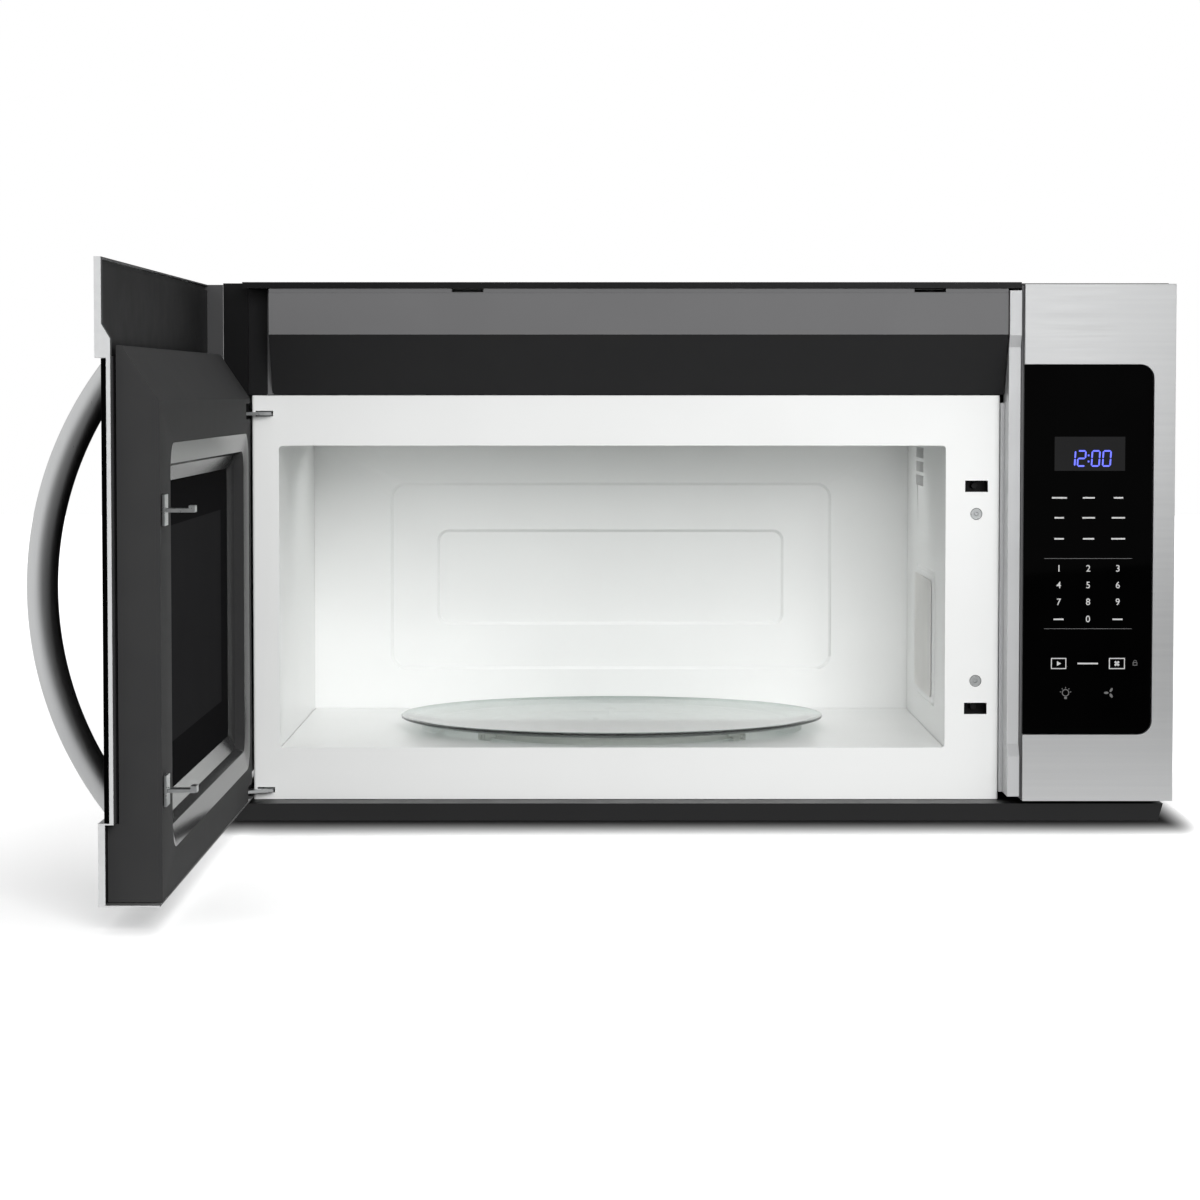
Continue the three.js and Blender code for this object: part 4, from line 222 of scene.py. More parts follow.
# The hood's front is grey; its underside, over the oven's mouth, faces down into shade and is painted
# black as that shade.
hood_coat_painted_shade, tree, shader = powder_coat("grey_powder_coat_with_painted_underside_shade", 0.3, 0.4, 0.5)
upright = facing(tree, "Y", -0.95)
in_front = box_mask(tree, *HOOD_FRONT)
band = add_node(tree, "ShaderNodeMath", {"operation": "MULTIPLY"}, {0: upright, 1: in_front})
paint_by(tree, shader, mottled(tree, band.outputs["Value"], 60), "#1d1d1e", "#6e6e6f")
print("orange peel cells", PEEL, "mm")

# %% [markdown]
# ## White enamel
#
# The oven cavity and the plate around its mouth are steel with a baked white enamel. It's hard and
# glassy, a little warm, and smooth enough for soft reflections. The broad unevenness of the coat is what
# tells it from white plastic.

# %% Enamel
enamel, tree, shader = start_material(
    "baked_white_enamel", {"IOR": 1.5, "Coat Weight": 0.25, "Coat Roughness": 0.12}
)
paint_by(tree, shader, speckle(tree, 90), "#f3f4f3", "#f8f9f8")
gloss_by(tree, shader, speckle(tree, 12), 0.26, 0.36)
relief_by(tree, shader, speckle(tree, 3.0), 0.015)

# Nylon lets a little light in, so that it looks softer and warmer than the enamel beside it.
white_moulding, tree, shader = start_material("white_nylon_moulding", {"IOR": 1.53})
paint_by(tree, shader, speckle(tree, 8), "#e4e4e0", "#eeeeea")
gloss_by(tree, shader, speckle(tree, 2), 0.4, 0.55)
relief_by(tree, shader, speckle(tree, 0.6), 0.01)
print("enamel and white mouldings ready")

# %% [markdown]
# ## Brushed stainless steel
#
# The door's face and the control panel are stainless sheet, brushed in long straight strokes along the
# width and sealed. Each stroke is a scratch far longer than it is wide, so a noise is stretched a
# hundredfold along the strokes. It moves the roughness, the tone and the relief together. Real strokes
# are about 0.1 mm wide, too fine to show here, so they are drawn 0.8 mm wide.

# %% Stainless steel
STROKE = 0.8  # mm wide
STROKE_LENGTH = 110  # times as long as wide
HANDLE_STROKE_LENGTH = 60


def brushed_steel(name, strokes, dark="#d8d9da", light="#e4e5e5", rough=0.34):
    """Steel whose strokes are drawn out along each axis by this many times their width."""
    steel, tree, shader = start_material(name, {"Metallic": 1.0, "Anisotropic": 0.35})
    fine = speckle(tree, STROKE, 3.0, strokes)
    broad = speckle(tree, 5 * STROKE, 2.0, strokes)
    paint_by(tree, shader, broad, dark, light)
    gloss_by(tree, shader, fine, rough - 0.07, rough + 0.1)
    relief_by(tree, shader, fine, 0.012, 0.5)
    return steel


steel_along_x = brushed_steel("brushed_stainless_across", (STROKE_LENGTH, 1, 1))
steel_along_y = brushed_steel("brushed_stainless_on_open_door_with_painted_shade", (1, STROKE_LENGTH, 1), rough=0.5)
handle_strokes = (1, 1, HANDLE_STROKE_LENGTH)
steel_handle = brushed_steel("satin_stainless_handle", handle_strokes, "#c4c5c6", "#cbcccc", 0.3)
print("stroke length", STROKE * STROKE_LENGTH, "mm")

# %% Painted shade and cut faces of the door's sheet
HINGE_END = ((-400, -226, 0), (-340, -190, 440))  # mm, two corners of a box around the sheet's hinge end
CUT_METALLIC = 0.4

# The sheet of the door is bare on its outside. Its inside and its hinge end, where shade falls, are
# painted dark grey as shade.
tree = steel_along_y.node_tree
shader = tree.nodes["Principled BSDF"]
inside = facing(tree, "X", 0.5)
at_hinges = box_mask(tree, *HINGE_END)
painted_shade = add_node(tree, "ShaderNodeMath", {"operation": "MAXIMUM"}, {0: inside, 1: at_hinges})
bare = shader.inputs["Base Color"].links[0].from_socket
sheet_tone = add_node(
    tree,
    "ShaderNodeMix",
    {"data_type": "RGBA", MIX_SECOND: linear("#474748")},
    {MIX_SHARE: painted_shade.outputs["Value"], MIX_FIRST: bare},
)
tree.links.new(sheet_tone.outputs[MIX_RESULT], shader.inputs["Base Color"])

# Its cut ends are ground matt and scatter the light more than they mirror it.
ends = choose(tree, facing(tree, "Y", -0.9), 1.0, CUT_METALLIC)
bare_only = {"operation": "SUBTRACT", "use_clamp": True}
metal = add_node(tree, "ShaderNodeMath", bare_only, {0: ends, 1: painted_shade.outputs["Value"]})
tree.links.new(metal.outputs["Value"], shader.inputs["Metallic"])
print("the door's sheet is bare, coated and cut")

# %% [markdown]
# ## Other metals
#
# Hidden brackets and screws are zinc plated, the duct parts are galvanised, and the grease filters are
# layers of aluminium mesh. Galvanised zinc freezes in flat crystals called spangle, and a Voronoi
# pattern has just that look. The mesh is drawn as two crossed waves at its real spacing.

# %% Plated and galvanised metals
# Zinc plate is bright and cool, with a faint cloudiness.
zinc, tree, shader = start_material("bright_zinc_plate", {"Metallic": 1.0})
paint_by(tree, shader, speckle(tree, 6), "#b9bcbd", "#d2d4d4")
gloss_by(tree, shader, speckle(tree, 3), 0.22, 0.38)
relief_by(tree, shader, speckle(tree, 0.8), 0.01)

SPANGLE = 7  # mm across a zinc crystal
galvanised, tree, shader = start_material("galvanised_sheet", {"Metallic": 1.0})
place = add_node(tree, "ShaderNodeTexCoord").outputs["Object"]
crystals = add_node(tree, "ShaderNodeTexVoronoi", {"Scale": per_metre(SPANGLE)}, {"Vector": place})
split = add_node(tree, "ShaderNodeSeparateColor", links={"Color": crystals.outputs["Color"]})
paint_by(tree, shader, split.outputs["Red"], "#8d9294", "#b3b7b9")
gloss_by(tree, shader, split.outputs["Green"], 0.32, 0.5)

# Rolled steel is darker and faintly streaked along the way that it was rolled.
dull_steel, tree, shader = start_material("rolled_steel", {"Metallic": 1.0})
paint_by(tree, shader, speckle(tree, 9), "#6f7274", "#8b8e90")
gloss_by(tree, shader, speckle(tree, 2, stretch=(8, 1, 1)), 0.35, 0.5)
relief_by(tree, shader, speckle(tree, 1), 0.01)
print("spangle", SPANGLE, "mm")

# %% Copper wire and aluminium
WIRE = 1.6  # mm from turn to turn, a little coarser than the real wire so that it shows

# Wound copper gets a painted highlight on each turn and a painted dark line of shade between two turns,
# and the bump raises each turn as well.
copper, tree, shader = start_material("enamelled_copper_wire_with_painted_highlight", {"Metallic": 1.0})
place = add_node(tree, "ShaderNodeTexCoord").outputs["Object"]
wound = {"bands_direction": "Z", "Scale": waves_per_metre(WIRE), "Distortion": 0.1}
turns = add_node(tree, "ShaderNodeTexWave", wound, {"Vector": place})
paint_by(tree, shader, turns.outputs["Fac"], "#6d3517", "#c7773f")
gloss_by(tree, shader, turns.outputs["Fac"], 0.35, 0.25)
relief_by(tree, shader, turns.outputs["Fac"], 0.3)

# Drawn aluminium is paler than steel and keeps fine streaks from the die.
aluminium, tree, shader = start_material("drawn_aluminium", {"Metallic": 1.0})
paint_by(tree, shader, speckle(tree, 5, stretch=(1, 1, 10)), "#c3c5c7", "#dadbdc")
gloss_by(tree, shader, speckle(tree, 2), 0.25, 0.4)
relief_by(tree, shader, speckle(tree, 0.7), 0.01)
print("copper wire", WIRE, "mm")

# %% Aluminium mesh of the grease filters
MESH_PITCH = 4.0  # mm between strands
STRAND_HEIGHT = 0.6  # mm

filter_mesh, tree, shader = start_material("layered_aluminium_mesh", {"Metallic": 1.0})
place = add_node(tree, "ShaderNodeTexCoord").outputs["Object"]
strands = []
for turn in (math.pi / 4, -math.pi / 4):
    mapping = add_node(tree, "ShaderNodeMapping", {"Rotation": (0, 0, turn)}, {"Vector": place})
    bands = {"bands_direction": "X", "Scale": waves_per_metre(MESH_PITCH)}
    wave = add_node(tree, "ShaderNodeTexWave", bands, {"Vector": mapping.outputs["Vector"]})
    strands.append(wave.outputs["Fac"])
weave = add_node(tree, "ShaderNodeMath", {"operation": "MAXIMUM"}, {0: strands[0], 1: strands[1]})
paint_by(tree, shader, weave.outputs["Value"], "#3c3e40", "#cfd1d3")
gloss_by(tree, shader, speckle(tree, 3), 0.3, 0.45)
relief_by(tree, shader, weave.outputs["Value"], STRAND_HEIGHT)
print("filter mesh pitch", MESH_PITCH, "mm")

# %% [markdown]
# ## Moulded plastics
#
# The inside of the door is one black moulding with a satin, slightly grained face. Grain is etched into
# the steel mould by acid, so that fingers leave no marks. The trim beside the oven mouth is painted
# silver, and small parts are nylon, rubber or clear plastic.

# %% Plastics and rubber
GRAIN = 0.9  # mm between the grain's pits
GRAIN_HEIGHT = 0.02  # mm
CHARCOAL_HEIGHT = 0.8  # mm, the coarse grains of a charcoal pad
PLASTIC = {"IOR": 1.5, "Specular IOR Level": 0.4}


def moulded(name, dark, light, gloss, grain_height=GRAIN_HEIGHT, extra=None):
    """A moulded material with its grain; extra holds what differs from plain plastic."""
    plastic, tree, shader = start_material(name, {**PLASTIC, **(extra or {})})
    paint_by(tree, shader, speckle(tree, 40), dark, light)
    gloss_by(tree, shader, speckle(tree, 15), gloss - 0.05, gloss + 0.05)
    relief_by(tree, shader, speckle(tree, GRAIN), grain_height)
    return plastic


black_moulding = moulded("satin_black_moulded_plastic", "#131314", "#19191a", 0.42)
housing_moulding = moulded("dark_grey_moulded_plastic", "#5e5e5f", "#686869", 0.42)
rubber = moulded("black_rubber", "#161616", "#1f1f1f", 0.75)  # dull, without a clear highlight
# Silver paint holds flakes of metal, so that it's part plastic and part mirror.
silver_paint = moulded("silver_painted_plastic", "#c4c5c6", "#cfd0d1", 0.38, extra={"Metallic": 0.45})
# A frosted lens lets light through without an image.
frosted = moulded("frosted_lamp_lens", "#dfe3e4", "#eceff0", 0.5, extra={"Transmission Weight": 0.5})
charcoal = moulded("activated_charcoal_pad", "#101010", "#262626", 0.85, CHARCOAL_HEIGHT)
mica = moulded("pressed_mica_sheet", "#dddcd9", "#e8e7e4", 0.45, 0.03)  # pearly, nearly flat
board = moulded("green_circuit_board", "#14452c", "#1d5a3a", 0.4)  # glossy green solder mask
print("grain", GRAIN, "mm")

# %% The door's moulding
RECESS = ((-373, -760.5, 42), (-356.4, -219.5, 312.6))  # mm, around the open door's window recess

# The moulding is satin, but the sides of its window recess are polished and mirror more sharply.
door_moulding, tree, shader = start_material(
    "black_door_moulding", {**PLASTIC, "Specular IOR Level": 0.12}
)
paint_by(tree, shader, speckle(tree, 40), "#323233", "#393939")
gloss_by(tree, shader, box_mask(tree, *RECESS), 0.7, 0.14)
relief_by(tree, shader, speckle(tree, GRAIN), GRAIN_HEIGHT)
print("recess", RECESS)

# %% [markdown]
# ## Glass
#
# The door and the panel have black tempered glass: clear glass with a black ceramic print baked on its
# back. Light bends into glass with an IOR of about 1.5, and a face of that IOR would show the lit studio
# as grey patches on the black. The real glass looks deep black from here, so its IOR is set close to 1.
# The door's inner pane carries a smoked film that we see at a very flat angle, where every gloss turns
# into a mirror, so the film has no gloss at all. The tray is pressed soda glass with the faint green of
# its iron.

# %% Glasses
VIEW = ((-376, -722, 103), (-370, -300, 252))  # mm, around the see-through part of the open door's window

black_glass, tree, shader = start_material("black_printed_tempered_glass", {"IOR": 1.06})
paint_by(tree, shader, speckle(tree, 50), "#010101", "#040404")
gloss_by(tree, shader, speckle(tree, 30), 0.02, 0.05)

smoked_glass, tree, shader = start_material(
    "smoked_window_film_with_painted_light", {"IOR": 1.45, "Roughness": 0.5, "Specular IOR Level": 0.0}
)
# The see-through part of the film is painted a little lighter, as painted light for what shines through
# the window.
see_through_painted_light = mottled(tree, box_mask(tree, *VIEW), 60, 0.8)
paint_by(tree, shader, see_through_painted_light, "#1c1c1d", "#2b2b2c")

# Soda glass is nearly colourless from above and greener at its edge; its mould leaves slow waves.
TRAY_IOR = 1.5
tray_glass, tree, shader = start_material(
    "pressed_soda_glass", {"IOR": TRAY_IOR, "Transmission Weight": 1.0, "Roughness": 0.02}
)
paint_by(tree, shader, speckle(tree, 80), "#d3ddd9", "#dde5e2")
relief_by(tree, shader, speckle(tree, 14), 0.05, 0.4)

# The filter before the clock is one shade off the black print, as a real one is when it's unlit.
clear_print, tree, shader = start_material("dark_display_filter", {"IOR": 1.2})
paint_by(tree, shader, speckle(tree, 20), "#0e0e0f", "#131314")
gloss_by(tree, shader, speckle(tree, 10), 0.08, 0.14)
print("tray glass IOR", TRAY_IOR)

# %% [markdown]
# ## Finishes for the fixed parts
#
# Each fixed part names the kind of surface it has, so one table gives every kind its finish. Edges of
# pressed and moulded parts are never knife sharp. A bevel modifier rounds them and catches the thin line
# of light that makes an edge look real. The part's own mesh stays as it is under the modifiers.

# %% Dress the fixed parts
finishes = {
    "black_case_paint": black_powder_coat,
    "grey_hood_paint": hood_coat_painted_shade,
    "white_enamel": enamel,
    "galvanised_steel": galvanised,
    "zinc_plate": zinc,
    "stainless": steel_along_x,
    "black_glass": black_glass,
    "smoked_window": smoked_glass,
    "black_plastic": black_moulding,
    "white_plastic": white_moulding,
    "silver_plastic": silver_paint,
    "frosted_lens": frosted,
    "tray_glass": tray_glass,
    "display_window": clear_print,
    "filter_aluminium": filter_mesh,
    "charcoal": charcoal,
    "mica": mica,
    "magnetron_metal": aluminium,
    "core_steel": dull_steel,
    "copper_winding": copper,
    "capacitor_aluminium": aluminium,
    "circuit_board": board,
    "lamp_parts": frosted,
    "motor_steel": dull_steel,
    "black_rubber": rubber,
}
# These parts differ from the others of their kind.
own_finish = {
    "door_skin": steel_along_y,
    "choke_cover": door_moulding,
    "control_panel_housing": housing_moulding,
}
own_radius = {"choke_cover": 1.0, "control_panel_frame": 0.35, "door_skin": 0.3, "base_pan": 0.3}  # mm
EDGE_RADIUS = 0.25  # mm, for the other parts
SHARP_FROM = 32  # degrees between two faces, from which their edge is rounded
FLAT_WITHIN = 0.3  # degrees, up to which two faces are one
JOIN_WITHIN = 0.002  # mm between two points that are one
FLAT_SHEETS = ("panel_side_trim", "door_skin")  # folded from flat faces, with shallow folds to keep


def soften_edges(part, radius_mm):
    """Joins the part's loose triangles and rounds its sharp edges, by modifiers alone."""
    normals = part.data.attributes.get("custom_normal")
    if normals:
        part.data.attributes.remove(normals)
    round_form = part.name not in FLAT_SHEETS
    part.data.polygons.foreach_set("use_smooth", [round_form] * len(part.data.polygons))
    weld = part.modifiers.new("join", "WELD")
    weld.merge_threshold = JOIN_WITHIN * MM
    flat = part.modifiers.new("merge_flats", "DECIMATE")
    flat.decimate_type = "DISSOLVE"
    flat.angle_limit = math.radians(FLAT_WITHIN)
    bevel = part.modifiers.new("round_edges", "BEVEL")
    bevel.width = radius_mm * MM
    bevel.segments = 2
    bevel.limit_method = "ANGLE"
    bevel.angle_limit = math.radians(SHARP_FROM)
    bevel.harden_normals = round_form
    bevel.use_clamp_overlap = True
    bevel.loop_slide = False


for name, part in nodes.items():
    kind = part.material_slots[0].name.split(".")[0]
    part.material_slots[0].material = own_finish.get(name, finishes[kind])
    soften_edges(part, own_radius.get(name, EDGE_RADIUS))
print("dressed", len(nodes), "parts in", len(set(finishes.values())), "finishes")

# %% [markdown]
# ## Making a piece
#
# The pieces below are built as meshes, with bmesh or from a list of points. One helper turns the mesh
# into an object, gives it a finish and lets it ride on the part that carries it, so that it moves with
# the door or the tray.

# %% Piece helpers
SMOOTH_BELOW = 40  # degrees


def make_piece(name, mesh, finish, body, instead_of=()):
    """A shown object of this mesh that rides on a body, in place of the named fixed parts."""
    piece = bpy.data.objects.new(name, mesh)
    bpy.context.scene.collection.objects.link(piece)
    mesh.materials.append(finish)
    mesh.shade_smooth()
    mesh.set_sharp_from_angle(angle=math.radians(SMOOTH_BELOW))
    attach(piece, body)
    if instead_of:
        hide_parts(*instead_of)


def ring_mesh(name, rings):
    """A closed skin over rings of equally many points, each ring joined to the next."""
    shape = bmesh.new()
    made = [[shape.verts.new(point) for point in ring] for ring in rings]
    for first, second in zip(made, made[1:]):
        for i in range(len(first)):
            j = (i + 1) % len(first)
            shape.faces.new((first[i], first[j], second[j], second[i]))
    shape.faces.new(list(reversed(made[0])))
    shape.faces.new(made[-1])
    bmesh.ops.recalc_face_normals(shape, faces=shape.faces)
    mesh = bpy.data.meshes.new(name)
    shape.to_mesh(mesh)
    shape.free()
    return mesh


def oval_section(width, depth, points=40):
    """Points of an ellipse about its middle."""
    angles = [2 * math.pi * i / points for i in range(points)]
    return [(width / 2 * math.cos(a), depth / 2 * math.sin(a)) for a in angles]


print("points of a section", len(oval_section(20, 18)))

# %% [markdown]
# ## The bowed handle
#
# The handle is a stainless bar bent into an arc, with both ends running into the glass. We sweep an
# oval section along the arc and cut the ends off flat where they meet the door's glass. A swept skin
# has a clean, even highlight along the bow, which is what the eye follows here.

# %% Handle
HANDLE_THICK = 20 * MM  # along the reach
HANDLE_STEPS = 72
ARC_OVERSHOOT = 1.15  # the arc runs past the glass by this factor before it's cut

handle_low, handle_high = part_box("door_handle")
skin_low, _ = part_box("door_skin")
handle_width = handle_high.y - handle_low.y
handle_half = (handle_high.z - handle_low.z) / 2
reach = skin_low.x - handle_low.x
arc_radius = (handle_half**2 + reach**2) / (2 * reach)
handle_y = (handle_low.y + handle_high.y) / 2
arc_middle = Vector((handle_low.x + arc_radius, handle_y, handle_low.z + handle_half))
half_turn = ARC_OVERSHOOT * math.asin(handle_half / arc_radius)
section = oval_section(HANDLE_THICK, handle_width)
rings = []
for step in range(HANDLE_STEPS + 1):
    angle = (2 * step / HANDLE_STEPS - 1) * half_turn
    outward = Vector((-math.cos(angle), 0, math.sin(angle)))
    centre = arc_middle + outward * (arc_radius - HANDLE_THICK / 2)
    rings.append([centre + outward * a + Vector((0, b, 0)) for a, b in section])
handle_mesh = ring_mesh("handle_bar", rings)
shape = bmesh.new()
shape.from_mesh(handle_mesh)
cut = bmesh.ops.bisect_plane(
    shape,
    geom=[*shape.verts, *shape.edges, *shape.faces],
    plane_co=(handle_high.x, 0, 0),
    plane_no=(1, 0, 0),
    clear_outer=True,
)
rim = [item for item in cut["geom_cut"] if isinstance(item, bmesh.types.BMEdge)]
bmesh.ops.holes_fill(shape, edges=rim)
bmesh.ops.recalc_face_normals(shape, faces=shape.faces)
shape.to_mesh(handle_mesh)
shape.free()
make_piece("handle_bar", handle_mesh, steel_handle, "door", ["door_handle"])
print("handle radius", round(arc_radius / MM), "mm, reach", round(reach / MM), "mm")

# %% [markdown]
# ## The glass tray
#
# The tray is pressed in a mould: a flat floor, a shallow coved side and a fire-polished round rim. Seen
# from the edge, glass shows its thickness as a darker green line. We turn a profile around the tray's
# axis in fine steps, because every facet of clear glass would show as a broken reflection.

# %% Tray
TRAY_STEPS = 160
TRAY_HEIGHT = 8 * MM
GLASS_THICK = 4  # mm, of the tray's floor
RIM = 1.1 * MM  # radius of the rim's edge
RIM_ARC = range(-60, 151, 30)  # degrees
COVE_BELOW = ((36, 0), (32, 0.3), (11, 2.9))  # mm inward of the rim, and mm above the underside
COVE_ABOVE = ((12, 6.3), (30, 4.3), (36, GLASS_THICK))

tray_low, tray_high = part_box("glass_tray")
tray_radius = (tray_high.x - tray_low.x) / 2
tray_middle = Vector(((tray_low.x + tray_high.x) / 2, (tray_low.y + tray_high.y) / 2, 0))
tray_z = tray_high.z - TRAY_HEIGHT
print("tray", round(2 * tray_radius / MM), "mm across, its floor at", round(tray_z / MM, 1), "mm")


def turned_mesh(name, profile, centre, steps):
    """A body of revolution about the upright through centre, from points (radius, height)."""
    rings = []
    for step in range(steps):
        angle = 2 * math.pi * step / steps
        spoke = Vector((math.cos(angle), math.sin(angle), 0))
        rings.append([centre + spoke * r + Vector((0, 0, z)) for r, z in profile])
    shape = bmesh.new()
    made = [[shape.verts.new(point) for point in ring] for ring in rings]
    for first, second in zip(made, made[1:] + made[:1]):
        for i in range(len(profile) - 1):
            shape.faces.new((first[i], second[i], second[i + 1], first[i + 1]))
    bmesh.ops.remove_doubles(shape, verts=shape.verts, dist=1e-7)
    bmesh.ops.recalc_face_normals(shape, faces=shape.faces)
    mesh = bpy.data.meshes.new(name)
    shape.to_mesh(mesh)
    shape.free()
    return mesh


rim_r = tray_radius - RIM
rim_z = tray_z + TRAY_HEIGHT - RIM
rim_angles = [math.radians(degrees) for degrees in RIM_ARC]
rim_round = [(rim_r + RIM * math.cos(a), rim_z + RIM * math.sin(a)) for a in rim_angles]
below, above = [
    [(tray_radius - inward * MM, tray_z + height * MM) for inward, height in cove]
    for cove in (COVE_BELOW, COVE_ABOVE)
]
tray_profile = [(0, tray_z), *below, *rim_round, *above, (0, tray_z + GLASS_THICK * MM)]
tray_mesh = turned_mesh("turntable_tray", tray_profile, tray_middle, TRAY_STEPS)
make_piece("turntable_tray", tray_mesh, tray_glass, "tray", ["glass_tray"])

# %% [markdown]
# ## The printed keys and the clock
#
# The keys are a film behind the glass, read through it as pale print. The print here is generic: plain
# digits, short bars where words would be, and simple signs for start, stop, lock, lamp and fan. All of
# it lies just on the glass, as thin as ink, in one mesh.

# %% Print helpers
glass_low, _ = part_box("control_glass")
GLASS_FACE = glass_low.y
INK = 0.04 * MM  # thickness of the print


def flat_shape(shape, points, face_y, thick):
    """Adds a closed plate to the bmesh: points are (x, z), the front stands thick before face_y."""
    front = [shape.verts.new((x, face_y - thick, z)) for x, z in points]
    back = [shape.verts.new((x, face_y, z)) for x, z in points]
    shape.faces.new(front)
    shape.faces.new(list(reversed(back)))
    for i in range(len(points)):
        j = (i + 1) % len(points)
        shape.faces.new((front[j], front[i], back[i], back[j]))


def bar(x0, x1, z0, z1):
    """The outline of an upright rectangle."""
    return [(x0, z0), (x1, z0), (x1, z1), (x0, z1)]


def frame_bars(x0, x1, z0, z1, line):
    """The four bars of a box outline."""
    return [
        bar(x0, x1, z0, z0 + line),
        bar(x0, x1, z1 - line, z1),
        bar(x0, x0 + line, z0 + line, z1 - line),
        bar(x1 - line, x1, z0 + line, z1 - line),
    ]


def stroke(x0, z0, x1, z1, line):
    """A straight stroke of this width between two points."""
    along = Vector((x1 - x0, z1 - z0)).normalized() * line / 2
    side = Vector((-along.y, along.x))
    start, end = Vector((x0, z0)), Vector((x1, z1))
    return [tuple(corner) for corner in (start - side, end - side, end + side, start + side)]


def finish_print(name, outlines, finish, face_y, thick):
    """A piece of flat plates with these outlines, which rides on the case."""
    shape = bmesh.new()
    for points in outlines:
        flat_shape(shape, points, face_y, thick)
    bmesh.ops.recalc_face_normals(shape, faces=shape.faces)
    mesh = bpy.data.meshes.new(name)
    shape.to_mesh(mesh)
    shape.free()
    make_piece(name, mesh, finish, "case")


print("glass face at", round(GLASS_FACE / MM, 1), "mm")

# %% Key print
# Ink is matt, and it is given a faint painted glow of its own.
key_ink, tree, shader = start_material(
    "pale_key_ink_with_painted_glow",
    {"Roughness": 0.5, "Emission Strength": 0.15, "Emission Color": linear("#d0d0d0")},
)
paint_by(tree, shader, speckle(tree, 4), "#b4b4b4", "#c4c4c4")
dim_ink, tree, shader = start_material(
    "dim_key_ink_with_painted_glow",
    {"Roughness": 0.5, "Emission Strength": 0.2, "Emission Color": linear("#606060")},
)
paint_by(tree, shader, speckle(tree, 4), "#5a5a5a", "#666666")

KEY_COLUMNS = [288.3 * MM, 311.7 * MM, 335.3 * MM]
WORD_ROWS = [259.1 * MM, 243.2 * MM, 226.5 * MM]
DIGIT_ROWS = [202.6 * MM, 189.4 * MM, 176.0 * MM]
ZERO_ROW = 162.3 * MM
WORD_HEIGHT = 1.2 * MM
WORD_WIDTHS = [[12, 9.5, 7.5], [7.5, 10, 10.5], [7.5, 9, 11]]  # mm
SHORT_WORD = 8  # mm, beside the zero
DIVIDER_ROWS = [210.8 * MM, 154.8 * MM]
DIVIDER = (276.6 * MM, 346.6 * MM)
DIVIDER_LINE = 0.35 * MM


def word(x, z, width_mm):
    """The short bar that stands for a word, with its middle at this place."""
    half = width_mm * MM / 2
    return bar(x - half, x + half, z - WORD_HEIGHT / 2, z + WORD_HEIGHT / 2)


words = []
for row, widths in zip(WORD_ROWS, WORD_WIDTHS):
    words += [word(column, row, width) for column, width in zip(KEY_COLUMNS, widths)]
words += [word(column, ZERO_ROW, SHORT_WORD) for column in (KEY_COLUMNS[0], KEY_COLUMNS[2])]
finish_print("key_labels", words, key_ink, GLASS_FACE, INK)
dividers = [bar(*DIVIDER, row - DIVIDER_LINE / 2, row + DIVIDER_LINE / 2) for row in DIVIDER_ROWS]
finish_print("key_dividers", dividers, dim_ink, GLASS_FACE, INK)
print("words", len(words))

# %% Digits
DIGIT_HEIGHT = 5.2 * MM
DIGIT_SHARE = 0.7  # height of a digit in a font of size 1
INK_SPREAD = 0.03 * MM  # how far ink runs past the letter's outline


def digit_mesh(text, x, z, height):
    """A digit as a thin mesh that stands on the glass."""
    curve = bpy.data.curves.new("digit", "FONT")
    curve.body = text
    curve.align_x = "CENTER"
    curve.align_y = "CENTER"
    curve.size = height / DIGIT_SHARE
    curve.extrude = INK / 2
    curve.offset = INK_SPREAD
    writing = bpy.data.objects.new("digit", curve)
    bpy.context.scene.collection.objects.link(writing)
    bpy.context.view_layer.update()
    ready = writing.evaluated_get(bpy.context.evaluated_depsgraph_get())
    mesh = bpy.data.meshes.new_from_object(ready)
    upright = Matrix.Rotation(math.pi / 2, 4, "X")
    mesh.transform(Matrix.Translation((x, GLASS_FACE - INK / 2, z)) @ upright)
    bpy.data.objects.remove(writing)
    bpy.data.curves.remove(curve)
    return mesh


digits = bmesh.new()
places = [(KEY_COLUMNS[i % 3], DIGIT_ROWS[i // 3], str(i + 1)) for i in range(9)]
for x, z, text in [*places, (KEY_COLUMNS[1], ZERO_ROW, "0")]:
    digits.from_mesh(digit_mesh(text, x, z, DIGIT_HEIGHT))
digits_mesh = bpy.data.meshes.new("key_digits")
digits.to_mesh(digits_mesh)
digits.free()
make_piece("key_digits", digits_mesh, key_ink, "case")
print("digits", len(places) + 1)

# %% Start and stop signs
SIGN_Z = (122.6 * MM, 131.4 * MM)
START_BOX = (282.5 * MM, 294.7 * MM)
STOP_BOX = (328.7 * MM, 341.4 * MM)
SIGN_LINE = 0.7 * MM
ARROW = ((-1.3, -1.9), (2.1, 0), (-1.3, 1.9))  # mm from the middle of its box
CROSS = 1.6 * MM  # half the size of the cross, and the width of its strokes
MIDDLE_WORD = (311.8 * MM, 16.4)  # its place in m, its width in mm

signs = [*frame_bars(*START_BOX, *SIGN_Z, SIGN_LINE), *frame_bars(*STOP_BOX, *SIGN_Z, SIGN_LINE)]
sign_z = sum(SIGN_Z) / 2
start_x = sum(START_BOX) / 2
stop_x = sum(STOP_BOX) / 2
signs.append([(start_x + x * MM, sign_z + z * MM) for x, z in ARROW])
for rise in (CROSS, -CROSS):
    signs.append(stroke(stop_x - CROSS, sign_z - rise, stop_x + CROSS, sign_z + rise, CROSS))
signs.append(word(MIDDLE_WORD[0], sign_z, MIDDLE_WORD[1]))
finish_print("start_and_stop_signs", signs, key_ink, GLASS_FACE, INK)
print("start and stop", len(signs), "plates")


# %% Lamp, fan and lock signs
def ring_strokes(x, z, radius, line, parts=16):
    """A circle drawn with short strokes."""
    corners = [
        (x + radius * math.cos(2 * math.pi * i / parts), z + radius * math.sin(2 * math.pi * i / parts))
        for i in range(parts + 1)
    ]
    return [stroke(*a, *b, line) for a, b in zip(corners, corners[1:])]


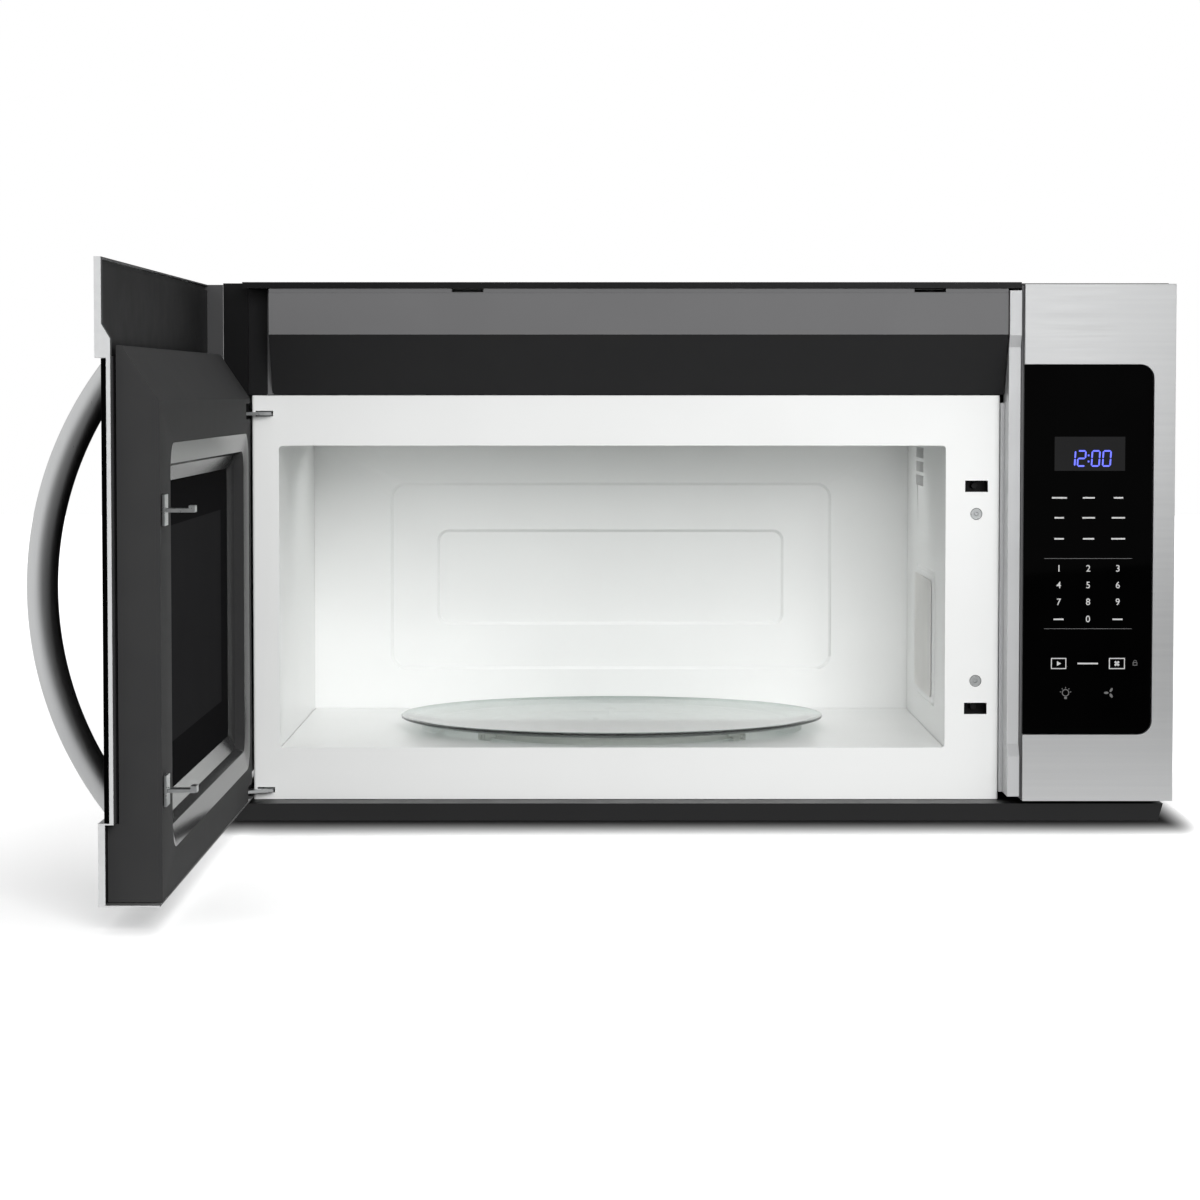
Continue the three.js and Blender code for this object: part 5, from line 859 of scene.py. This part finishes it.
LAMP_SIGN = (294.3 * MM, 103.6 * MM)
FAN_SIGN = (329.4 * MM, 103.6 * MM)
LOCK_SIGN = (349.5 * MM, 128.0 * MM)
BULB = 2.6 * MM  # radius
SOCKET = (1 * MM, 5 * MM, 3.2 * MM)  # half width, then how far its lower and upper ends are below the bulb
RAY = (3.5 * MM, 4.6 * MM)  # where a ray starts and ends, from the bulb's middle
RAY_LINE = 0.6 * MM
BLADE = (2.6 * MM, 1.9 * MM, 1.0 * MM)  # from the hub to its middle, half length, half width
BLADE_POINTS = 8
LOCK_BODY = (1.8 * MM, 2.6 * MM, 0.5 * MM)  # half width, height, line
SHACKLE = (0.4 * MM, 1.2 * MM, 0.4 * MM)  # height of its middle, radius, line

x, z = LAMP_SIGN
soft_signs = ring_strokes(x, z, BULB, SIGN_LINE)
soft_signs.append(bar(x - SOCKET[0], x + SOCKET[0], z - SOCKET[1], z - SOCKET[2]))
for degrees in range(10, 171, 40):
    ray = Vector((math.cos(math.radians(degrees)), math.sin(math.radians(degrees))))
    start, end = [Vector(LAMP_SIGN) + ray * distance for distance in RAY]
    soft_signs.append(stroke(*start, *end, RAY_LINE))
for degrees in (60, 180, 300):
    spin = Matrix.Rotation(math.radians(degrees), 2)
    turns = [2 * math.pi * i / BLADE_POINTS for i in range(BLADE_POINTS)]
    oval = [Vector((BLADE[0] + BLADE[1] * math.cos(t), BLADE[2] * math.sin(t))) for t in turns]
    soft_signs.append([tuple(Vector(FAN_SIGN) + spin @ point) for point in oval])
x, z = LOCK_SIGN
soft_signs += frame_bars(x - LOCK_BODY[0], x + LOCK_BODY[0], z - LOCK_BODY[1], z, LOCK_BODY[2])
shackle = ring_strokes(x, z + SHACKLE[0], SHACKLE[1], SHACKLE[2], 10)
soft_signs += shackle[: len(shackle) // 2]
finish_print("lamp_fan_and_lock_signs", soft_signs, dim_ink, GLASS_FACE, INK)
print("soft signs", len(soft_signs), "plates")

# %% [markdown]
# ## The lit clock
#
# A dark window in the print lets the clock shine through. Its digits are seven-segment bars that glow
# blue: the lit core is nearly white and the edge a deep blue. Each bar is a long six-sided plate that
# leans with the digit. We write a plain time and let the bars give their own light.

# %% Clock
WINDOW = (284.3 * MM, 340.3 * MM, 280.6 * MM, 307.6 * MM)
SEGMENTS = {"0": "abcdef", "1": "bc", "2": "abged"}
CLOCK_HEIGHT = 12.0 * MM
CLOCK_WIDTH = 6.0 * MM
SEGMENT = 1.25 * MM
SEGMENT_GAP = 0.15  # of a segment's width, at each of its ends
LEAN = 0.06

finish_print("clock_window", [bar(*WINDOW)], clear_print, GLASS_FACE, INK)
glow, tree, shader = start_material(
    "blue_lit_segment",
    {"Roughness": 0.4, "Emission Strength": 1.0, "Emission Color": linear("#7a84ff")},
)
paint_by(tree, shader, speckle(tree, 3), "#2026c0", "#2a30d0")


def segment_bar(x0, z0, x1, z1):
    """One pointed bar between two corners of a digit."""
    along = Vector((x1 - x0, z1 - z0)).normalized()
    side = Vector((-along.y, along.x)) * SEGMENT / 2
    a = Vector((x0, z0)) + along * SEGMENT_GAP * SEGMENT
    b = Vector((x1, z1)) - along * SEGMENT_GAP * SEGMENT
    nose = along * SEGMENT / 2
    return [a, a + nose - side, b - nose - side, b, b - nose + side, a + nose + side]


def clock_digit(text, x, z):
    """The lit bars of one digit, with its lower left corner at this place."""
    w, h = CLOCK_WIDTH, CLOCK_HEIGHT
    corners = {
        "a": (0, h, w, h),
        "b": (w, h / 2, w, h),
        "c": (w, 0, w, h / 2),
        "d": (0, 0, w, 0),
        "e": (0, 0, 0, h / 2),
        "f": (0, h / 2, 0, h),
        "g": (0, h / 2, w, h / 2),
    }
    bars = []
    for letter in SEGMENTS[text]:
        points = segment_bar(*corners[letter])
        bars.append([(x + p.x + LEAN * p.y, z + p.y) for p in points])
    return bars


CLOCK_Z = 284.4 * MM
CLOCK_DIGITS = (("1", 294.2), ("2", 302.4), ("0", 313.6), ("0", 322.4))  # left edges in mm
DOTS_X = (310.6 * MM, 311.9 * MM)
DOT = 1.3 * MM
lit = []
for text, x in CLOCK_DIGITS:
    lit += clock_digit(text, x * MM, CLOCK_Z)
for rise in (0.3, 0.7):
    dot_z = CLOCK_Z + rise * CLOCK_HEIGHT
    lit.append(bar(*DOTS_X, dot_z - DOT / 2, dot_z + DOT / 2))
finish_print("clock_digits", lit, glow, GLASS_FACE - 2 * INK, INK)
print("clock bars", len(lit))

# %% [markdown]
# ## World
#
# The oven stands on a seamless white sweep, as in a studio. The camera sees a white world, while satin
# and metal faces see a studio that is bright at the left and falls off to dark at the right, with a
# bright strip at its far right: that is what gives steel its gradient and keeps black paint black. A
# world that is white all round would be simpler, but steel and black paint would turn to flat grey.

# %% World
AMBIENT = 0.88  # what matt faces get from all sides
# What metal mirrors, from the left of the studio (0) by its front (0.5) to the right (1).
STUDIO_GREYS = (
    (0, "#fafafa"),
    (0.15, "#fafafa"),
    (0.25, "#dcdcdc"),
    (0.35, "#b0b0b0"),
    (0.43, "#868686"),
    (0.52, "#6a6a6a"),
    (0.65, "#585858"),
    (0.84, "#383838"),
    (0.92, "#f0f0f0"),
    (1, "#f0f0f0"),
)


def studio_by_direction(tree, direction):
    """The studio's brightness in a direction, from its left side to its right."""
    split = add_node(tree, "ShaderNodeSeparateXYZ", links={"Vector": direction})
    both_sides = {"From Min": -1.0, "From Max": 1.0}
    across = add_node(tree, "ShaderNodeMapRange", both_sides, {"Value": split.outputs["X"]})
    studio = add_node(tree, "ShaderNodeValToRGB", links={"Fac": across.outputs["Result"]})
    stops = studio.color_ramp.elements
    for place, _ in STUDIO_GREYS[1:-1]:
        stops.new(place)
    for stop, (_, grey) in zip(stops, STUDIO_GREYS):
        stop.color = linear(grey)
    return studio.outputs["Color"]


world = bpy.data.worlds.new("studio")
bpy.context.scene.world = world
world.use_nodes = True
tree = world.node_tree
tree.nodes.clear()
rays = add_node(tree, "ShaderNodeLightPath")
direction = add_node(tree, "ShaderNodeTexCoord")
studio = studio_by_direction(tree, direction.outputs["Generated"])
reflected = add_node(tree, "ShaderNodeBackground", {"Strength": 1.0}, {"Color": studio})
ambient = add_node(tree, "ShaderNodeBackground", {"Strength": AMBIENT, "Color": linear("#ffffff")})
white = add_node(tree, "ShaderNodeBackground", {"Strength": 1.0, "Color": linear("#ffffff")})
for_glossy = add_node(
    tree,
    "ShaderNodeMixShader",
    links={
        0: rays.outputs["Is Glossy Ray"],
        1: ambient.outputs["Background"],
        2: reflected.outputs["Background"],
    },
)
seen = add_node(
    tree,
    "ShaderNodeMath",
    {"operation": "MAXIMUM"},
    {0: rays.outputs["Is Camera Ray"], 1: rays.outputs["Is Transmission Ray"]},
)
for_camera = add_node(
    tree,
    "ShaderNodeMixShader",
    links={0: seen.outputs["Value"], 1: for_glossy.outputs["Shader"], 2: white.outputs["Background"]},
)
add_node(tree, "ShaderNodeOutputWorld", links={"Surface": for_camera.outputs["Shader"]})
print("ambient light", AMBIENT)

# %% [markdown]
# ## Floor
#
# The floor is white for the camera and takes the oven's shadow. Right under the base the shadow is deep
# and narrow, which a large soft lamp can't make sharp enough, so the colour itself falls off there by
# its distance from the base. The floor's own glow grows with the distance, so that no horizon shows.
# Metal sees the floor in tones of its own, and from below it's clear, so that we can look under the oven.

# %% Contact shadow on the floor
CONTACT_SHADOW = 97 * MM  # how far in front of the base the floor is dark
SIDE_SHARE = (4, 1, 0)  # at the sides, the shadow is a quarter as wide
DARKEST = 0.12  # share of the light at the base itself
FALL_OFF = 2.2  # power by which the shadow fades

sweep, tree, shader = start_material("white_sweep", {"Roughness": 0.9})
place = add_node(tree, "ShaderNodeTexCoord").outputs["Object"]
base_low, base_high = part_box("base_pan")
middle = (base_low + base_high) / 2
half = (base_high - base_low) / 2
beyond = place
for operation, value in (
    ("SUBTRACT", (middle.x, middle.y, 0)),
    ("ABSOLUTE", (0, 0, 0)),
    ("SUBTRACT", (half.x, half.y, 0)),
    ("MAXIMUM", (0, 0, 0)),
    ("MULTIPLY", SIDE_SHARE),
):
    step = {"operation": operation, 1: value}
    beyond = add_node(tree, "ShaderNodeVectorMath", step, {0: beyond}).outputs["Vector"]
from_base = add_node(tree, "ShaderNodeVectorMath", {"operation": "LENGTH"}, {0: beyond})
reach = {"From Max": CONTACT_SHADOW, "To Min": DARKEST}
open_sky = add_node(tree, "ShaderNodeMapRange", reach, {"Value": from_base.outputs["Value"]})
fading = {"operation": "POWER", 1: FALL_OFF}
light = add_node(tree, "ShaderNodeMath", fading, {0: open_sky.outputs["Result"]}).outputs["Value"]
paint_by(tree, shader, speckle(tree, 400), "#f8f8f8", "#fbfbfb")
tone = shader.inputs["Base Color"].links[0].from_socket
shaded = add_node(tree, "ShaderNodeVectorMath", {"operation": "SCALE"}, {0: tone, "Scale": light})
tree.links.new(shaded.outputs["Vector"], shader.inputs["Base Color"])
print("contact shadow", round(CONTACT_SHADOW / MM), "mm")

# %% Glow of the floor
GLOW_REACH = 4.0  # metres
GLOWS = ((0, 0.3), (0.5, 0.3), (0.8, 0.04), (1.0, 0.06), (GLOW_REACH, 0.6))  # metres away, strength

away = add_node(tree, "ShaderNodeVectorMath", {"operation": "LENGTH"}, {0: place}).outputs["Value"]
share = add_node(tree, "ShaderNodeMapRange", {"From Max": GLOW_REACH}, {"Value": away})
strength = add_node(tree, "ShaderNodeValToRGB", links={"Fac": share.outputs["Result"]})
stops = strength.color_ramp.elements
for distance, _ in GLOWS[1:-1]:
    stops.new(distance / GLOW_REACH)
for stop, (_, value) in zip(stops, GLOWS):
    stop.color = (value, value, value, 1)
shown = {0: strength.outputs["Color"], 1: light}
glow_there = add_node(tree, "ShaderNodeMath", {"operation": "MULTIPLY"}, shown).outputs["Value"]
glow_white = add_node(tree, "ShaderNodeEmission", {"Color": linear("#ffffff")}, {"Strength": glow_there})
lit_floor = {0: shader.outputs["BSDF"], 1: glow_white.outputs["Emission"]}
bright = add_node(tree, "ShaderNodeAddShader", links=lit_floor)
print("glow", GLOWS)

# %% The floor as metal sees it, and from below
EVEN_FLOOR = {"From Min": 0.7, "From Max": 1.3}  # metres, from the even floor close by to the far one

# Further out, the floor is as bright in metal as the studio behind it.
outward = add_node(tree, "ShaderNodeVectorMath", {"operation": "NORMALIZE"}, {0: place})
far_floor = studio_by_direction(tree, outward.outputs["Vector"])
distant = add_node(tree, "ShaderNodeMapRange", EVEN_FLOOR, {"Value": away})
mirror_tone = add_node(
    tree,
    "ShaderNodeMix",
    {"data_type": "RGBA", MIX_FIRST: linear("#e4e4e4")},
    {MIX_SHARE: distant.outputs["Result"], MIX_SECOND: far_floor},
).outputs[MIX_RESULT]
mirrored = add_node(tree, "ShaderNodeEmission", {"Strength": 1.0}, {"Color": mirror_tone})
dim = add_node(tree, "ShaderNodeBsdfDiffuse", {"Color": linear("#4a4a4a")})
clear = add_node(tree, "ShaderNodeBsdfTransparent")
rays = add_node(tree, "ShaderNodeLightPath")
sides = add_node(tree, "ShaderNodeNewGeometry")
surface = dim.outputs["BSDF"]
for choice, other in (
    (rays.outputs["Is Glossy Ray"], mirrored.outputs["Emission"]),
    (rays.outputs["Is Camera Ray"], bright.outputs["Shader"]),
    (sides.outputs["Backfacing"], clear.outputs["BSDF"]),
):
    mixed = {0: choice, 1: surface, 2: other}
    surface = add_node(tree, "ShaderNodeMixShader", links=mixed).outputs["Shader"]
tree.links.new(surface, tree.nodes["Material Output"].inputs["Surface"])
print("floor nodes", len(tree.nodes))


# %% Lay the floor
FLOOR_SIZE = 14  # metres
FLOOR_DROP = 0.5 * MM  # below the base, so that the two faces don't flicker


def stage_plane(name, material, width, height, place, turn=(0, 0, 0)):
    """A flat rectangle of the studio, not of the oven."""
    shape = bmesh.new()
    bmesh.ops.create_grid(shape, x_segments=1, y_segments=1, size=0.5)
    mesh = bpy.data.meshes.new(name)
    shape.to_mesh(mesh)
    shape.free()
    mesh.transform(Matrix.Diagonal((width, height, 1, 1)))
    mesh.materials.append(material)
    plane = bpy.data.objects.new(name, mesh)
    plane.location = place
    plane.rotation_euler = turn
    bpy.context.scene.collection.objects.link(plane)
    return plane


stage_plane("floor", sweep, FLOOR_SIZE, FLOOR_SIZE, (0, 0, -FLOOR_DROP))
print("floor", FLOOR_SIZE, "m wide")

# %% [markdown]
# ## Lamps
#
# A large soft lamp in front and one above make gentle shadows, as the big lit cloths of a photo studio
# do. The lamps show in no reflection, because the studio around them already stands for what steel and
# paint mirror. The oven's own lamp sits near the ceiling, and the white walls spread its light.

# %% Lamps
FRONT_POWER = 70  # watts
TOP_POWER = 22
OVEN_POWER = 0.3
AIM = (0, 0, 0.2)  # metres, the middle of the oven
OVEN_LAMP_SIZE = (0.5, 0.2)  # metres
FROM_BACK = 110 * MM  # the oven's lamp, from the back wall
FROM_CEILING = 8 * MM


def soft_lamp(name, place, target, size, power):
    """An area lamp of this size that faces its target and shows in no reflection."""
    data = bpy.data.lights.new(name, "AREA")
    data.size = size
    data.energy = power
    lamp = bpy.data.objects.new(name, data)
    lamp.location = place
    lamp.visible_glossy = False
    aim = Vector(target) - Vector(place)
    lamp.rotation_euler = aim.to_track_quat("-Z", "Y").to_euler()
    bpy.context.scene.collection.objects.link(lamp)
    return lamp


soft_lamp("front_lamp", (0.45, -3.5, 1.2), AIM, 1.3, FRONT_POWER)
soft_lamp("top_lamp", (0.1, 0.3, 2.6), AIM, 1.6, TOP_POWER)

cavity_low, cavity_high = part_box("cavity_wrapper")
lamp_x = (cavity_low.x + cavity_high.x) / 2
lamp_y = cavity_high.y - FROM_BACK
lamp_place = (lamp_x, lamp_y, cavity_high.z - FROM_CEILING)
below_lamp = (lamp_x, lamp_y + 0.05, 0)
oven_light = soft_lamp("oven_light", lamp_place, below_lamp, OVEN_LAMP_SIZE[0], OVEN_POWER)
oven_light.data.shape = "RECTANGLE"
oven_light.data.size_y = OVEN_LAMP_SIZE[1]
oven_light.visible_camera = False
bpy.context.scene.view_settings.view_transform = "Standard"

# %% [markdown]
# ## A lit cloth before the panel
#
# The panel faces the camera and would mirror the dark middle of the studio. A lit cloth stands before
# it, a little to the right, as a photographer would set it up, and gives the steel a bright, even tone.
# Only reflections see it. Its back is black, so that the door's handle doesn't mirror it.

# %% Lit cloth
CLOTH_LIGHT = 1.75
CLOTH_SIZE = (0.9, 1.1)  # metres, wide and high
CLOTH_PLACE = (0.42, -1.6, 0.68)
CLOTH_TURN = (math.pi / 2, 0, math.radians(127))

cloth, tree, shader = start_material("softbox_cloth", {"Roughness": 0.9})
paint_by(tree, shader, speckle(tree, 200), "#020202", "#040404")
sides = add_node(tree, "ShaderNodeNewGeometry")
lit_face = add_node(tree, "ShaderNodeEmission", {"Color": linear("#ffffff"), "Strength": CLOTH_LIGHT})
one_sided = add_node(
    tree,
    "ShaderNodeMixShader",
    links={0: sides.outputs["Backfacing"], 1: lit_face.outputs["Emission"], 2: shader.outputs["BSDF"]},
)
tree.links.new(one_sided.outputs["Shader"], tree.nodes["Material Output"].inputs["Surface"])
softbox = stage_plane("panel_softbox", cloth, *CLOTH_SIZE, CLOTH_PLACE, CLOTH_TURN)
for ray in ("camera", "diffuse", "transmission", "shadow"):
    setattr(softbox, "visible_" + ray, False)
print("cloth", CLOTH_SIZE, "m")
